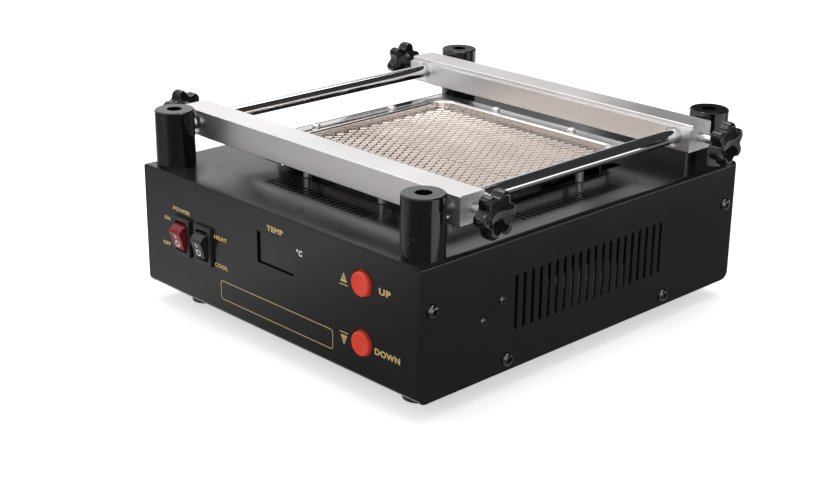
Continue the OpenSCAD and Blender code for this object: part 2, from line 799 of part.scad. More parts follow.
module display_module() color([0.15, 0.15, 0.15])
  on_front(lens_y, display_depth) translate([display_x, window_z])
    square([display_w, display_h], center = true);

module control_board() color([0.1, 0.35, 0.15]) on_front(board_y, board_t) difference() {
  translate([board_x0, board_z0]) square([board_x1 - board_x0, board_z1 - board_z0]);
  for (p = board_places) translate(p) circle(d = board_screw + 2 * fit);
}

module board_spacers() color([0.8, 0.7, 0.4]) on_front(panel_y, board_y - panel_y) for (p = board_places)
  translate(p) difference() {
    circle(d = board_spacer);
    circle(d = board_screw + 2 * fit);
  }

module board_screws() color([0.75, 0.75, 0.75])
  for (p = board_places) translate([p[0], board_y + board_t, p[1]]) rotate([-90, 0, 0])
    screw(board_screw, board_t + board_tail, board_spacer, small_head_h);

module tact_switches() color([0.12, 0.12, 0.12])
  for (z = [up_z, down_z]) translate([button_x, board_y, z]) {
    translate([-tact[0] / 2, -tact[1], -tact[2] / 2]) cube(tact);
    translate([0, -tact[1], 0]) rotate([90, 0, 0]) cylinder(d = 3.4, h = tact_pin);
  }

module button(z) color([0.85, 0.12, 0.1]) translate([button_x, 0, z]) rotate([90, 0, 0]) {
  stem_end = tact_pin + tact[1] + button_travel + 2 * fit - board_y;
  flange_back = -panel_y - fit / 2 - button_flange_t;
  edge = 0.7;
  translate([0, 0, stem_end]) cylinder(d = stem_d, h = flange_back - stem_end);
  translate([0, 0, flange_back]) cylinder(d = button_flange, h = button_flange_t);
  translate([0, 0, flange_back + button_flange_t])
    cylinder(d = button_d, h = -front_y + button_proud - edge - flange_back - button_flange_t);
  translate([0, 0, -front_y + button_proud - edge])
    cylinder(d1 = button_d, d2 = button_d - 2 * edge, h = edge);
}

// Fan: the outer face lies on the rear panel, and the axis runs forwards from it

module at_fan() translate([fan_x, back_y, fan_z]) rotate([90, 0, 0]) children();

module fan_frame() color([0.1, 0.1, 0.1]) at_fan() {
  difference() {
    linear_extrude(fan_depth) difference() {
      rounded_rect(fan_w, fan_w, 3);
      circle(d = fan_bore);
      for (x = [-1, 1], y = [-1, 1]) translate([x * fan_hole_x, y * fan_hole_x]) circle(d = fan_hole);
    }
  }
  translate([0, 0, fan_depth - fan_plate]) linear_extrude(fan_plate) {
    circle(d = fan_hub);
    for (i = [0 : 2]) rotate(i * 120) translate([0, -1.5]) square([fan_bore / 2 + 0.5, 3]);
  }
  translate([0, 0, 4]) cylinder(d = fan_shaft, h = fan_depth - fan_plate - 4);
}

module fan_rotor() color([0.13, 0.13, 0.13]) at_fan() {
  low = 1.5;
  high = fan_depth - fan_plate - 0.5;
  mid = (low + high) / 2;
  chord = (high - low) / cos(fan_blade_tilt) - 2;
  translate([0, 0, low]) difference() {
    cylinder(d = fan_hub, h = high - low);
    translate([0, 0, 1]) cylinder(d = fan_shaft + 2 * running, h = high);
  }
  intersection() {
    translate([0, 0, low]) difference() {
      cylinder(d = fan_bore - 1.6, h = high - low);
      translate([0, 0, -cut]) cylinder(d = fan_hub - 1, h = fan_depth);
    }
    for (i = [0 : fan_blades - 1]) rotate(i * 360 / fan_blades)
      translate([0, 0, mid]) rotate([fan_blade_tilt, 0, 0]) translate([0, -chord / 2, -fan_blade_t / 2])
        cube([fan_w, chord, fan_blade_t]);
  }
}

module fan_screws() color([0.2, 0.2, 0.2])
  for (x = [-1, 1], z = [-1, 1])
    translate([fan_x + x * fan_hole_x, rear_y, fan_z + z * fan_hole_x]) rotate([-90, 0, 0])
      screw(cover_screw, sheet + fan_tail, cover_head, cover_head_h);

// Mains inlet, with two bevelled lower corners in its socket, and fuse holder

module socket_outline() {
  w = inlet_socket[0] / 2;
  h = inlet_socket[2] / 2;
  b = inlet_bevel;
  polygon([[-w, h], [-w, -h + b], [-w + b, -h], [w - b, -h], [w, -h + b], [w, h]]);
}

module mains_inlet() color([0.08, 0.08, 0.08]) translate([inlet_x, 0, rear_z]) difference() {
  union() {
    on_front(rear_y, inlet_flange[1]) rounded_rect(inlet_flange[0], inlet_flange[2], 4);
    on_front(rear_y - inlet_barrel[1], inlet_barrel[1])
      square([inlet_barrel[0], inlet_barrel[2]], center = true);
  }
  on_front(rear_y + inlet_flange[1] - inlet_socket[1], inlet_socket[1] + cut) socket_outline();
  on_front(rear_y - inlet_barrel[1] - cut, inlet_barrel[1]) for (p = inlet_pins)
    translate(p) square([inlet_pin[0] + 2 * fit, inlet_pin[1] + 2 * fit], center = true);
  for (s = [-1, 1]) translate([s * inlet_screw_x, rear_y - cut, 0]) rotate([-90, 0, 0])
    cylinder(d = inlet_screw + 2 * fit, h = inlet_flange[1] + 2 * cut);
}

module inlet_pins() color([0.85, 0.75, 0.45]) translate([inlet_x, 0, rear_z]) {
  low = rear_y - inlet_barrel[1] - inlet_pin_back;
  on_front(low, rear_y + inlet_flange[1] - inlet_pin_sunk - low) for (p = inlet_pins)
    translate(p) square(inlet_pin, center = true);
}

module inlet_screws() color([0.2, 0.2, 0.2])
  for (s = [-1, 1]) translate([inlet_x + s * inlet_screw_x, rear_y + inlet_flange[1], rear_z])
    rotate([-90, 0, 0]) screw(inlet_screw, inlet_flange[1] + sheet + small_tail, small_head, small_head_h);

module fuse_holder() color([0.08, 0.08, 0.08])
  translate([fuse_x, rear_y, rear_z]) rotate([-90, 0, 0]) difference() {
    union() {
      translate([0, 0, -fuse_l]) cylinder(d = fuse_d, h = fuse_l);
      cylinder(d = fuse_flange, h = fuse_flange_t);
      translate([0, 0, fuse_flange_t]) cylinder(d = fuse_cap_d, h = fuse_cap_h);
    }
    translate([0, 0, fuse_flange_t + fuse_cap_h]) cube([fuse_cap_d - 2, 1.4, 3], center = true);
  }

// Pieces on the right wall and the floor

module heat_sink() color([0.65, 0.66, 0.68]) difference() {
  translate([sink_x, sink_y - sink_w / 2, sink_z - sink_h / 2]) {
    cube([sink_base, sink_w, sink_h]);
    for (s = [0, 1], i = [0 : 2])
      translate([-sink_fin[0], s * (sink_w - sink_fin[1]) + (1 - 2 * s) * i * 2.4 * sink_fin[1], 0])
        cube([sink_fin[0] + fit, sink_fin[1], sink_h]);
  }
  on_side(sink_x - cut, sink_base + 2 * cut) sink_screw_places() circle(d = sink_screw + 2 * fit);
}

module triac() color([0.1, 0.1, 0.1])
  translate([sink_x - triac[0], sink_y - triac[1] / 2, sink_z - sink_h / 2 + 1]) cube(triac);

module sink_screws() color([0.1, 0.1, 0.1])
  translate([side_x, 0, 0]) rotate([90, 0, 90]) sink_screw_places()
    screw(sink_screw, sheet + sink_base, sink_head, sink_head_h);

module transformer() color([0.35, 0.3, 0.28]) translate([transformer_x, transformer_y, inner_z]) {
  translate([-core[0] / 2, -core[1] / 2, 0]) cube(core);
  translate([-coil[0] / 2, -coil[1] / 2, (core[2] - coil[2]) / 2]) cube(coil);
}

module terminal_block() color([0.9, 0.88, 0.8]) translate([block_x, block_y, inner_z]) difference() {
  translate([-block[0] / 2, -block[1] / 2, 0]) cube(block);
  for (i = [0 : block_ways - 1])
    translate([0, (i - (block_ways - 1) / 2) * block[1] / block_ways, block[2] - block_hole_depth])
      cylinder(d = block_hole, h = block_hole_depth + cut);
}

base_chassis();
top_cover();
cover_screws();
foot(-1, -1);  // foot_front_left
foot(1, -1);  // foot_front_right
foot(-1, 1);  // foot_rear_left
foot(1, 1);  // foot_rear_right
foot_screws();
post(-1, -1);  // post_front_left
post(1, -1);  // post_front_right
post(-1, 1);  // post_rear_left
post(1, 1);  // post_rear_right
post_screws();
post_nuts();
guide_rod(-1);  // guide_rod_left
guide_rod(1);  // guide_rod_right
rail(-1);  // front_rail
rail(1);  // rear_rail
stud(-1, -1);  // stud_front_left
stud(1, -1);  // stud_front_right
stud(-1, 1);  // stud_rear_left
stud(1, 1);  // stud_rear_right
knob(-1, -1);  // knob_front_left
knob(1, -1);  // knob_front_right
knob(-1, 1);  // knob_rear_left
knob(1, 1);  // knob_rear_right
heater_tray();
heater_spacers();
heater_screws();
heater_nuts();
insulation_board();
heater_plate(-1);  // heater_plate_front
heater_plate(1);  // heater_plate_rear
thermocouple();
guard_mesh();
switch_body(power_x);  // power_switch
power_rocker();
switch_body(mode_x);  // mode_switch
mode_rocker();
switch_terminals();
display_lens();
display_module();
control_board();
board_spacers();
board_screws();
tact_switches();
button(up_z);  // up_button
button(down_z);  // down_button
fan_frame();
fan_rotor();
fan_screws();
mains_inlet();
inlet_pins();
inlet_screws();
fuse_holder();
heat_sink();
triac();
sink_screws();
transformer();
terminal_block();
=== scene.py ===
# %% [markdown]
# # Dressing a circuit-board preheater
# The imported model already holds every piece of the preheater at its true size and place.
# This lesson keeps the solids that look right as they are, rebuilds the moulded, bent and
# woven-looking pieces with soft edges, and gives every surface a finish made from nodes.

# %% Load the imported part
import json
import math

import bmesh
import bpy
from mathutils import Matrix, Vector


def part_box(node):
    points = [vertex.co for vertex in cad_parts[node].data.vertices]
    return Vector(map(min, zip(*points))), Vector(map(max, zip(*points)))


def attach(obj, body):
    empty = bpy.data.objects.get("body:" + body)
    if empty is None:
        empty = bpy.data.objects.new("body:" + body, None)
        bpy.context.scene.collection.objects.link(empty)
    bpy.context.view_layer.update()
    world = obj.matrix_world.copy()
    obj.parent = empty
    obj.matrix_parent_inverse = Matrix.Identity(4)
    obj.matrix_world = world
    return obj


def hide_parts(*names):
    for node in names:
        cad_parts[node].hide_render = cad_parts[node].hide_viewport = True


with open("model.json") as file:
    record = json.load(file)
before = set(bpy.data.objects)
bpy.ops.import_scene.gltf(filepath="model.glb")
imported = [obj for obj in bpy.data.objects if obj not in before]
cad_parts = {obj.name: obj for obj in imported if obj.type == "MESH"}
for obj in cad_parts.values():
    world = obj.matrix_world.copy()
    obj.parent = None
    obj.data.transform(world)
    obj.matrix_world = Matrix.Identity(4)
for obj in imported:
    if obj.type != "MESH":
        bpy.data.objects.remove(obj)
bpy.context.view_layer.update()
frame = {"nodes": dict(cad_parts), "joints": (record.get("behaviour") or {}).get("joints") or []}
solids = frame["nodes"]
MM = 0.001

# %% [markdown]
# A few faces of the case are needed again and again: the front panel, the top of the cover
# and the side walls. They are read from the solids once, so a new size of the case moves
# every printed word and every screw with it.

# %% Measure the case
cover_low, cover_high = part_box("top_cover")
FRONT = cover_low.y
REAR = cover_high.y
SIDE = cover_high.x
TOP = cover_high.z
LOWER_EDGE = cover_low.z
print("case", [round(v / MM, 1) for v in (SIDE * 2, REAR - FRONT, TOP - LOWER_EDGE)], "mm")

# %% [markdown]
# ## Camera
# The camera stands to the front right, a little above the posts, with a long lens. Its place
# was found from the long straight edges of the case, so the edges fall where a photographer's
# camera saw them. The lens is given as millimetres on a sensor 36 mm wide.

# %% Camera
PICTURE_WIDE = 826
FOCAL, SHIFT_X, SHIFT_Y = 1535.2, -10.29, -1.58
SENSOR = 36.0
scene = bpy.context.scene


def placed(name, data):
    """Puts data into the scene as an object."""
    made = bpy.data.objects.new(name, data)
    scene.collection.objects.link(made)
    return made


view_data = bpy.data.cameras.new("portrait_camera")
view_data.sensor_fit = "HORIZONTAL"
view_data.sensor_width = SENSOR
view_data.lens = SENSOR * FOCAL / PICTURE_WIDE
view_data.shift_x = SHIFT_X / PICTURE_WIDE
view_data.shift_y = SHIFT_Y / PICTURE_WIDE
view_data.clip_start = 0.01
camera = placed("portrait_camera", view_data)
camera.location = (0.58257, -0.5874, 0.33712)
camera.rotation_euler = [math.radians(a) for a in (69.7957, -0.7255, 45.7688)]
bpy.context.scene.camera = camera
print("lens", round(view_data.lens, 2), "mm")

# %% [markdown]
# ## Studio
# Product pictures of black things are made in a white tent: the paint itself is almost black,
# and what the eye reads as its shape is the tent's reflection. So the world is white where it
# is seen, also by gloss and glass, and gentler as a source of light. One broad lamp hangs above
# and a weaker one fills from the front left.

# %% World and lamps
scene.view_settings.view_transform = "Standard"
WHITE = (1.0, 1.0, 1.0, 1.0)
TENT_GLOW = 0.55
AIM = Vector((0, 0, 0.05))


def set_inputs(node, **values):
    for label, value in values.items():
        node.inputs[label.replace("_", " ")].default_value = value
    return node


def node_in(tree, kind, **values):
    """A new shader node with some of its inputs set."""
    return set_inputs(tree.nodes.new("ShaderNode" + kind), **values)


def work(owner, operation, first, second=0.0):
    """A Math node: each side is a number or the output of another node."""
    node = node_in(owner.node_tree, "Math")
    node.operation = operation
    for slot, value in zip(node.inputs, (first, second)):
        if isinstance(value, (int, float)):
            slot.default_value = value
        else:
            owner.node_tree.links.new(value, slot)
    return node.outputs[0]


def seen_directly(owner):
    """Gives 1 to the eye of the camera, of gloss and of glass, and 0 to plain light."""
    path = node_in(owner.node_tree, "LightPath").outputs
    either = work(owner, "MAXIMUM", path["Is Camera Ray"], path["Is Glossy Ray"])
    return work(owner, "MAXIMUM", either, path["Is Transmission Ray"])


world = bpy.data.worlds.new("white_tent")
scene.world = world
world.use_nodes = True
tent = world.node_tree
tent.nodes.clear()
glow = node_in(tent, "Background", Color=(0.98, 0.99, 1.0, 1.0), Strength=TENT_GLOW)
seen = node_in(tent, "Background", Color=WHITE, Strength=1.0)
blend = node_in(tent, "MixShader")
sky = node_in(tent, "OutputWorld")
tent.links.new(seen_directly(world), blend.inputs[0])
tent.links.new(glow.outputs[0], blend.inputs[1])
tent.links.new(seen.outputs[0], blend.inputs[2])
tent.links.new(blend.outputs[0], sky.inputs["Surface"])


def broad_lamp(name, place, size, watts):
    data = bpy.data.lights.new(name, "AREA")
    data.shape = "RECTANGLE"
    data.size = data.size_y = size
    data.energy = watts
    lamp = placed(name, data)
    lamp.location = place
    lamp.rotation_euler = (AIM - Vector(place)).to_track_quat("-Z", "Y").to_euler()


broad_lamp("overhead_panel", (-0.25, 0.25, 1.3), 1.1, 13.5)
broad_lamp("front_fill", (-0.9, -1.1, 0.7), 0.8, 4.5)
print("lamps:", len(bpy.data.lights))

# %% [markdown]
# The floor is one large pale sheet. It takes the object's shadow as a real floor does, and a
# little light of its own, for camera, gloss and glass alone, lifts the rest of it to the white
# of the tent. Its finish starts as every finish here does: as a Principled shader with its
# plain numbers set on the shader itself.

# %% Floor
FLOOR_HALF = 6.0
FLOOR_GLOW = 0.55


def mesh_of(name, bm):
    """Turns a finished bmesh into a mesh and frees it."""
    mesh = bpy.data.meshes.new(name)
    bm.to_mesh(mesh)
    bm.free()
    return mesh


def shader_of(made):
    return made.node_tree.nodes["Principled BSDF"]


def feed(made, source, target):
    made.node_tree.links.new(source, shader_of(made).inputs[target])


def finish(name, colour, roughness, metallic=0.0, specular=0.5):
    made = bpy.data.materials.new(name)
    made.use_nodes = True
    set_inputs(shader_of(made), Base_Color=(*colour, 1.0), Roughness=roughness,
               Metallic=metallic, Specular_IOR_Level=specular)
    return made


bm = bmesh.new()
bmesh.ops.create_grid(bm, x_segments=1, y_segments=1, size=FLOOR_HALF)
floor_mesh = mesh_of("pale_floor", bm)
floor = placed("pale_floor", floor_mesh)
floor_finish = finish("pale_floor", (0.86, 0.86, 0.86), 0.9, specular=0.1)
set_inputs(shader_of(floor_finish), Emission_Color=WHITE)
share = work(floor_finish, "MULTIPLY", seen_directly(floor_finish), FLOOR_GLOW)
feed(floor_finish, share, "Emission Strength")
floor_mesh.materials.append(floor_finish)
print("floor", floor_mesh.name)

# %% [markdown]
# Bright metal needs something dark to reflect, or it melts into a white background. So a studio
# lays grey cloth in front of the subject and stands black cards behind it and grey ones to its
# left, just out of the picture. They are hidden from the camera and cast no shadow: only
# reflections meet them. The cloth is lightest left of the middle, which gives the long rails
# their soft run from dark to light, and a strip of white is left between cloth and cards for
# the rim of each rod.

# %% Cloth and cards
CLOTH_LIFT = 0.0004
CLOTH_HALF = 0.45
CARD_AWAY, CARD_LIFT = 1.1, 0.04


def card_finish(name, light):
    made = finish(name, (0.02, 0.02, 0.02), 1.0, specular=0.0)
    set_inputs(shader_of(made), Emission_Color=(1.0, 0.97, 0.96, 1.0), Emission_Strength=light)
    return made


def studio_card(name, half_wide, half_high, matrix, coat):
    bm = bmesh.new()
    bmesh.ops.create_grid(bm, x_segments=1, y_segments=1, size=1.0)
    bmesh.ops.scale(bm, vec=(half_wide, half_high, 1.0), verts=bm.verts)
    bmesh.ops.transform(bm, matrix=matrix, verts=bm.verts)
    card = placed(name, mesh_of(name, bm))
    card.visible_camera = False
    card.visible_diffuse = False
    card.visible_transmission = False
    card.visible_shadow = False
    card.data.materials.append(coat)


def place_axis(made, axis):
    """The object's own X, Y or Z at each point of the surface, in metres."""
    coords = node_in(made.node_tree, "TexCoord")
    split = node_in(made.node_tree, "SeparateXYZ")
    made.node_tree.links.new(coords.outputs["Object"], split.inputs[0])
    return split.outputs[axis]


cloth = card_finish("grey_cloth", 0.2)
tree = cloth.node_tree
along = node_in(tree, "MapRange", From_Min=-CLOTH_HALF, From_Max=CLOTH_HALF)
shades = node_in(tree, "ValToRGB")
steps = [(0.0, 0.2), (0.08, 0.28), (0.26, 0.5), (0.38, 0.62), (0.47, 0.26), (0.54, 0.13)]
while len(shades.color_ramp.elements) < len(steps):
    shades.color_ramp.elements.new(0.5)
for element, (place, light) in zip(shades.color_ramp.elements, steps):
    element.position = place
    element.color = (light, light, light, 1.0)
tree.links.new(place_axis(cloth, "X"), along.inputs["Value"])
tree.links.new(along.outputs["Result"], shades.inputs["Fac"])
feed(cloth, shades.outputs["Color"], "Emission Strength")
lies = Matrix.Translation((0.0, FRONT - 0.452, CLOTH_LIFT))
studio_card("cloth_in_front", 1.0, 0.45, lies, cloth)
lies = Matrix.Translation((SIDE + 0.097, FRONT + 0.7, CLOTH_LIFT))
studio_card("cloth_at_right", 0.095, 0.7, lies, cloth)
black_card = card_finish("black_card", 0.02)
grey_card = card_finish("grey_card", 0.3)
cards = [
    ("card_behind_right", 35.0, 0.64, 0.93, black_card),
    ("card_behind", 95.0, 0.64, 0.93, black_card),
    ("card_front_left", 228.0, 0.5, 0.3, grey_card),
    ("card_behind_left", 134.3, 0.16, 0.19, grey_card),
]
STAND = Matrix.Rotation(math.radians(90), 4, "X")
upright = Matrix.Rotation(math.radians(90), 4, "Z") @ STAND
for name, bearing, half_wide, half_high, coat in cards:
    facing = Matrix.Rotation(math.radians(bearing), 4, "Z")
    place = Matrix.Translation((CARD_AWAY, 0.0, half_high + CARD_LIFT))
    studio_card(name, half_wide, half_high, facing @ place @ upright, coat)
print("cards:", len(cards))

# %% [markdown]
# ## Effects that several finishes share
# A node group is a small recipe with named inputs and outputs. The first one here makes the
# pebbled surface of baked powder paint: fine grain for the bump, and slow clouds that let the
# gloss wander a little from place to place, as it does on every real panel.

# %% Group: grain and clouds


def effect_group(name, inputs, outputs):
    group = bpy.data.node_groups.new(name, "ShaderNodeTree")
    for label, value in inputs:
        socket = group.interface.new_socket(label, in_out="INPUT", socket_type="NodeSocketFloat")
        socket.default_value = value
    for label in outputs:
        group.interface.new_socket(label, in_out="OUTPUT", socket_type="NodeSocketFloat")
    start = group.nodes.new("NodeGroupInput")
    end = group.nodes.new("NodeGroupOutput")
    return group, start, end


def noise_in(group, start, size_label, detail):
    coords = node_in(group, "TexCoord")
    noise = node_in(group, "TexNoise", Detail=detail)
    group.links.new(start.outputs[size_label], noise.inputs["Scale"])
    group.links.new(coords.outputs["Object"], noise.inputs["Vector"])
    return noise.outputs["Fac"]


grain_group, start, end = effect_group(
    "grain_and_clouds", [("Grain Size", 1500.0), ("Cloud Size", 25.0)], ["Grain", "Clouds"]
)
grain_group.links.new(noise_in(grain_group, start, "Grain Size", 2.0), end.inputs["Grain"])
grain_group.links.new(noise_in(grain_group, start, "Cloud Size", 4.0), end.inputs["Clouds"])
print("group", grain_group.name)

# %% [markdown]
# Extruded and rolled metal carries fine lines along the way it was drawn. They are noise
# squeezed across that way and stretched along it, so the three inputs say how many lines fit
# into a metre along each axis.

# %% Group: drawn lines
lines_group, start, end = effect_group(
    "drawn_lines", [("Along X", 20.0), ("Along Y", 2500.0), ("Along Z", 2500.0)], ["Lines"]
)
coords = node_in(lines_group, "TexCoord")
squeeze = node_in(lines_group, "VectorMath")
squeeze.operation = "MULTIPLY"
three = node_in(lines_group, "CombineXYZ")
for axis in "XYZ":
    lines_group.links.new(start.outputs["Along " + axis], three.inputs[axis])
lines_group.links.new(coords.outputs["Object"], squeeze.inputs[0])
lines_group.links.new(three.outputs[0], squeeze.inputs[1])
streaks = node_in(lines_group, "TexNoise", Scale=1.0, Detail=3.0)
lines_group.links.new(squeeze.outputs[0], streaks.inputs["Vector"])
lines_group.links.new(streaks.outputs["Fac"], end.inputs["Lines"])
print("group", lines_group.name)

# %% [markdown]
# Nothing that has been handled is spotless. This group puts out a thin scatter of specks: dust
# on black parts, and bright nicks on bare metal. A Map Range node cuts off all but the highest
# peaks of the noise.

# %% Group: specks
specks_group, start, end = effect_group(
    "specks", [("Size", 700.0), ("From", 0.66), ("To", 0.78)], ["Specks"]
)
cutoff = node_in(specks_group, "MapRange")
specks_group.links.new(noise_in(specks_group, start, "Size", 1.0), cutoff.inputs["Value"])
specks_group.links.new(start.outputs["From"], cutoff.inputs["From Min"])
specks_group.links.new(start.outputs["To"], cutoff.inputs["From Max"])
specks_group.links.new(cutoff.outputs["Result"], end.inputs["Specks"])
print("group", specks_group.name)

# %% [markdown]
# ## Finishes
# Small helpers place a group in a finish, spread its output between two values, mix two colours
# by it, or turn it into a bump. Two more put these steps together for the commonest kinds:
# pebbled surfaces, and drawn or rolled ones. Sizes and counts are in repeats per metre, and the
# depth of a bump is in millimetres.

# %% Helpers for finishes


def effect(made, group, **values):
    node = node_in(made.node_tree, "Group")
    node.node_tree = group
    return set_inputs(node, **values).outputs


def spread(made, source, low, high, target=None, lowest=0.3, highest=0.7):
    limits = dict(From_Min=lowest, From_Max=highest, To_Min=low, To_Max=high)
    node = node_in(made.node_tree, "MapRange", **limits)
    made.node_tree.links.new(source, node.inputs["Value"])
    if target:
        feed(made, node.outputs["Result"], target)
    return node.outputs["Result"]


def tint(made, mask, first, second):
    node = node_in(made.node_tree, "Mix")
    node.data_type = "RGBA"
    slots = [s for s in node.inputs if s.type == "RGBA"]
    for slot, colour in zip(slots, (first, second)):
        slot.default_value = (*colour, 1.0)
    made.node_tree.links.new(mask, node.inputs["Factor"])
    feed(made, [s for s in node.outputs if s.type == "RGBA"][0], "Base Color")


def relief(made, height, depth, strength):
    node = node_in(made.node_tree, "Bump", Distance=depth * MM, Strength=strength)
    made.node_tree.links.new(height, node.inputs["Height"])
    feed(made, node.outputs["Normal"], "Normal")


def pebbled(name, sizes, gloss, tints, bump=None, dust=None, gloss_by="Clouds", **plain):
    """Clouds vary the gloss and the tint where two are given, and grain makes the bump.

    Where there is dust, its specks make the second tint."""
    made = finish(name, tints[0], gloss[0], **plain)
    grain = effect(made, grain_group, Grain_Size=sizes[0], Cloud_Size=sizes[1])
    mask = grain["Clouds"]
    if dust:
        mask = effect(made, specks_group, Size=dust[0], From=dust[1], To=dust[2])["Specks"]
    if len(gloss) > 1:
        spread(made, grain[gloss_by], *gloss, "Roughness")
    if len(tints) > 1:
        tint(made, mask, *tints)
    if bump:
        relief(made, grain["Grain"], *bump)
    return made


def lines_on(made, counts):
    values = dict(zip(("Along_X", "Along_Y", "Along_Z"), counts))
    return effect(made, lines_group, **values)["Lines"]


def drawn(name, counts, gloss, tints, bump, **plain):
    """Fine lines vary the gloss and the tint where two are given, and make the bump."""
    made = finish(name, tints[0], gloss[0], **plain)
    lines = lines_on(made, counts)
    if len(gloss) > 1:
        spread(made, lines, *gloss, "Roughness")
    if len(tints) > 1:
        tint(made, lines, *tints)
    relief(made, lines, *bump)
    return made


print("helpers ready")

# %% [markdown]
# The case wears black powder paint, baked to a fine satin pebble. Posts and knobs are black
# too, but far glossier: the posts are painted and polished, and the knobs are moulded phenolic.

# %% Black finishes
case_paint = pebbled(
    "case_powder_paint", (1700, 18), (0.16, 0.21),
    ((0.009, 0.009, 0.0105), (0.011, 0.011, 0.0125)), bump=(0.04, 0.12),
)
post_paint = pebbled(
    "post_gloss_black", (900, 60), (0.1, 0.15), ((0.005, 0.005, 0.006), (0.05, 0.05, 0.052)),
    bump=(0.02, 0.08), dust=(420, 0.7, 0.8),
)
knob_phenolic = pebbled(
    "knob_phenolic", (420, 120), (0.04, 0.1), ((0.007, 0.007, 0.0075), (0.045, 0.045, 0.045)),
    bump=(0.03, 0.15), dust=(600, 0.7, 0.8), specular=0.4,
)
black_screw = pebbled(
    "black_nickel_screw", (1500, 150), (0.1, 0.2), ((0.16, 0.16, 0.165),), bump=(0.02, 0.2),
    metallic=1.0,
)
SOOT = (0.02, 0.02, 0.021)
black_moulding = pebbled("black_moulding", (2600, 90), (0.24, 0.36), (SOOT,), bump=(0.03, 0.2))
dark_plastic = pebbled("dark_plastic", (2200, 70), (0.42, 0.56), (SOOT,), bump=(0.04, 0.25))
foot_rubber = pebbled(
    "foot_rubber", (1300, 60), (0.75,), ((0.016, 0.016, 0.016), (0.06, 0.058, 0.055)),
    bump=(0.06, 0.3), dust=(900, 0.64, 0.78),
)
print("black finishes made")

# %% [markdown]
# The rails are extruded aluminium with the lines of the die along them. Their sawn ends are
# coarser, and the mask for that is simply how far a point lies from the middle along X.

# %% Rails
RAIL_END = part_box("front_rail")[1].x
END_SKIN = 0.02 * MM
SAWN_ROUGH, PIT_SHADE, SAW_HEIGHT = 0.25, 0.5, 4.0
rail_metal = finish("rail_aluminium", (0.8, 0.785, 0.78), 0.3, metallic=0.88)
lines = lines_on(rail_metal, (14, 1800, 1800))
grain = effect(rail_metal, grain_group, Grain_Size=850, Cloud_Size=22)
nicks = effect(rail_metal, specks_group, Size=900, From=0.56, To=0.68)["Specks"]
distance = work(rail_metal, "ABSOLUTE", place_axis(rail_metal, "X"))
sawn = work(rail_metal, "GREATER_THAN", distance, RAIL_END - END_SKIN)
satin = spread(rail_metal, grain["Clouds"], 0.2225, 0.3975, lowest=0.15, highest=0.85)
coarse = work(rail_metal, "MULTIPLY", sawn, SAWN_ROUGH)
feed(rail_metal, work(rail_metal, "ADD", satin, coarse), "Roughness")
pits = work(rail_metal, "MULTIPLY", work(rail_metal, "MULTIPLY", nicks, sawn), PIT_SHADE)
shade = work(rail_metal, "SUBTRACT", spread(rail_metal, grain["Grain"], 0.88, 1.0), pits)
tint(rail_metal, shade, (0.42, 0.41, 0.405), (0.82, 0.806, 0.8))
teeth = work(rail_metal, "MULTIPLY", grain["Grain"], sawn)
saw_marks = work(rail_metal, "MULTIPLY", teeth, SAW_HEIGHT)
relief(rail_metal, work(rail_metal, "ADD", lines, saw_marks), 0.03, 0.15)
print("finish", rail_metal.name)

# %% [markdown]
# The other bare metals are simpler: chromed rods ground along their length, zinc and nickel on
# screws and spacers, rolled stainless for the tray, and warmer stainless for the guard, which
# the heat has coloured.

# %% Other bare metals
rod_chrome = drawn(
    "rod_chrome", (2500, 60, 2500), (0.05, 0.1), ((0.83, 0.83, 0.84),), (0.01, 0.06), metallic=1.0
)
bright_zinc = pebbled(
    "bright_zinc", (1200, 300), (0.14, 0.3), ((0.7, 0.7, 0.71), (0.84, 0.84, 0.84)),
    bump=(0.02, 0.15), metallic=1.0,
)
spacer_nickel = pebbled(
    "spacer_nickel", (1200, 300), (0.16, 0.28), ((0.84, 0.84, 0.83),), metallic=0.7
)
tray_steel = pebbled(
    "tray_stainless", (900, 45), (0.08, 0.16), ((0.64, 0.62, 0.6), (0.74, 0.725, 0.71)),
    metallic=1.0,
)
relief(tray_steel, lines_on(tray_steel, (30, 1500, 1500)), 0.02, 0.12)
guard_steel = pebbled(
    "guard_stainless", (900, 60), (0.14, 0.22), ((0.59, 0.515, 0.47), (0.71, 0.635, 0.59)),
    bump=(0.04, 0.15), metallic=1.0,
)
bright_brass = pebbled(
    "bright_brass", (1400, 200), (0.15, 0.34), ((0.8, 0.62, 0.28),), bump=(0.02, 0.15),
    metallic=1.0,
)
core_steel = drawn(
    "varnished_core", (10, 2200, 10), (0.3, 0.55), ((0.1, 0.085, 0.075),), (0.1, 0.5), metallic=0.5
)
print("metal finishes made")

# %% [markdown]
# Under the guard lie two glazed ceramic heaters on a fibre board. The other colours are
# small: red buttons, a smoky red rocker, gold and white print, and the parts inside the case.

# %% Other finishes
ceramic = pebbled(
    "heater_ceramic", (500, 30), (0.36, 0.55), ((0.57, 0.465, 0.4), (0.69, 0.585, 0.52)),
    bump=(0.1, 0.3), gloss_by="Grain",
)
fibre_board = drawn(
    "insulation_fibre", (300, 1200, 1200), (0.95,), ((0.8, 0.78, 0.72), (0.9, 0.885, 0.84)),
    (0.3, 0.6), specular=0.2,
)
button_red = pebbled(
    "button_red", (2400, 140), (0.2, 0.3), ((0.74, 0.042, 0.016), (0.82, 0.06, 0.025)),
    bump=(0.03, 0.2),
)
rocker_red = pebbled(
    "rocker_smoky_red", (1500, 160), (0.16,), ((0.26, 0.008, 0.016), (0.36, 0.018, 0.03)),
    bump=(0.02, 0.12),
)
set_inputs(shader_of(rocker_red), Transmission_Weight=0.35)
gold_ink = pebbled(
    "gold_ink", (2600, 400), (0.34, 0.5), ((0.54, 0.36, 0.12), (0.66, 0.48, 0.2)),
    gloss_by="Grain",
)
white_ink = pebbled("white_ink", (2600, 400), (0.45,), ((0.68, 0.68, 0.67), (0.8, 0.8, 0.79)))
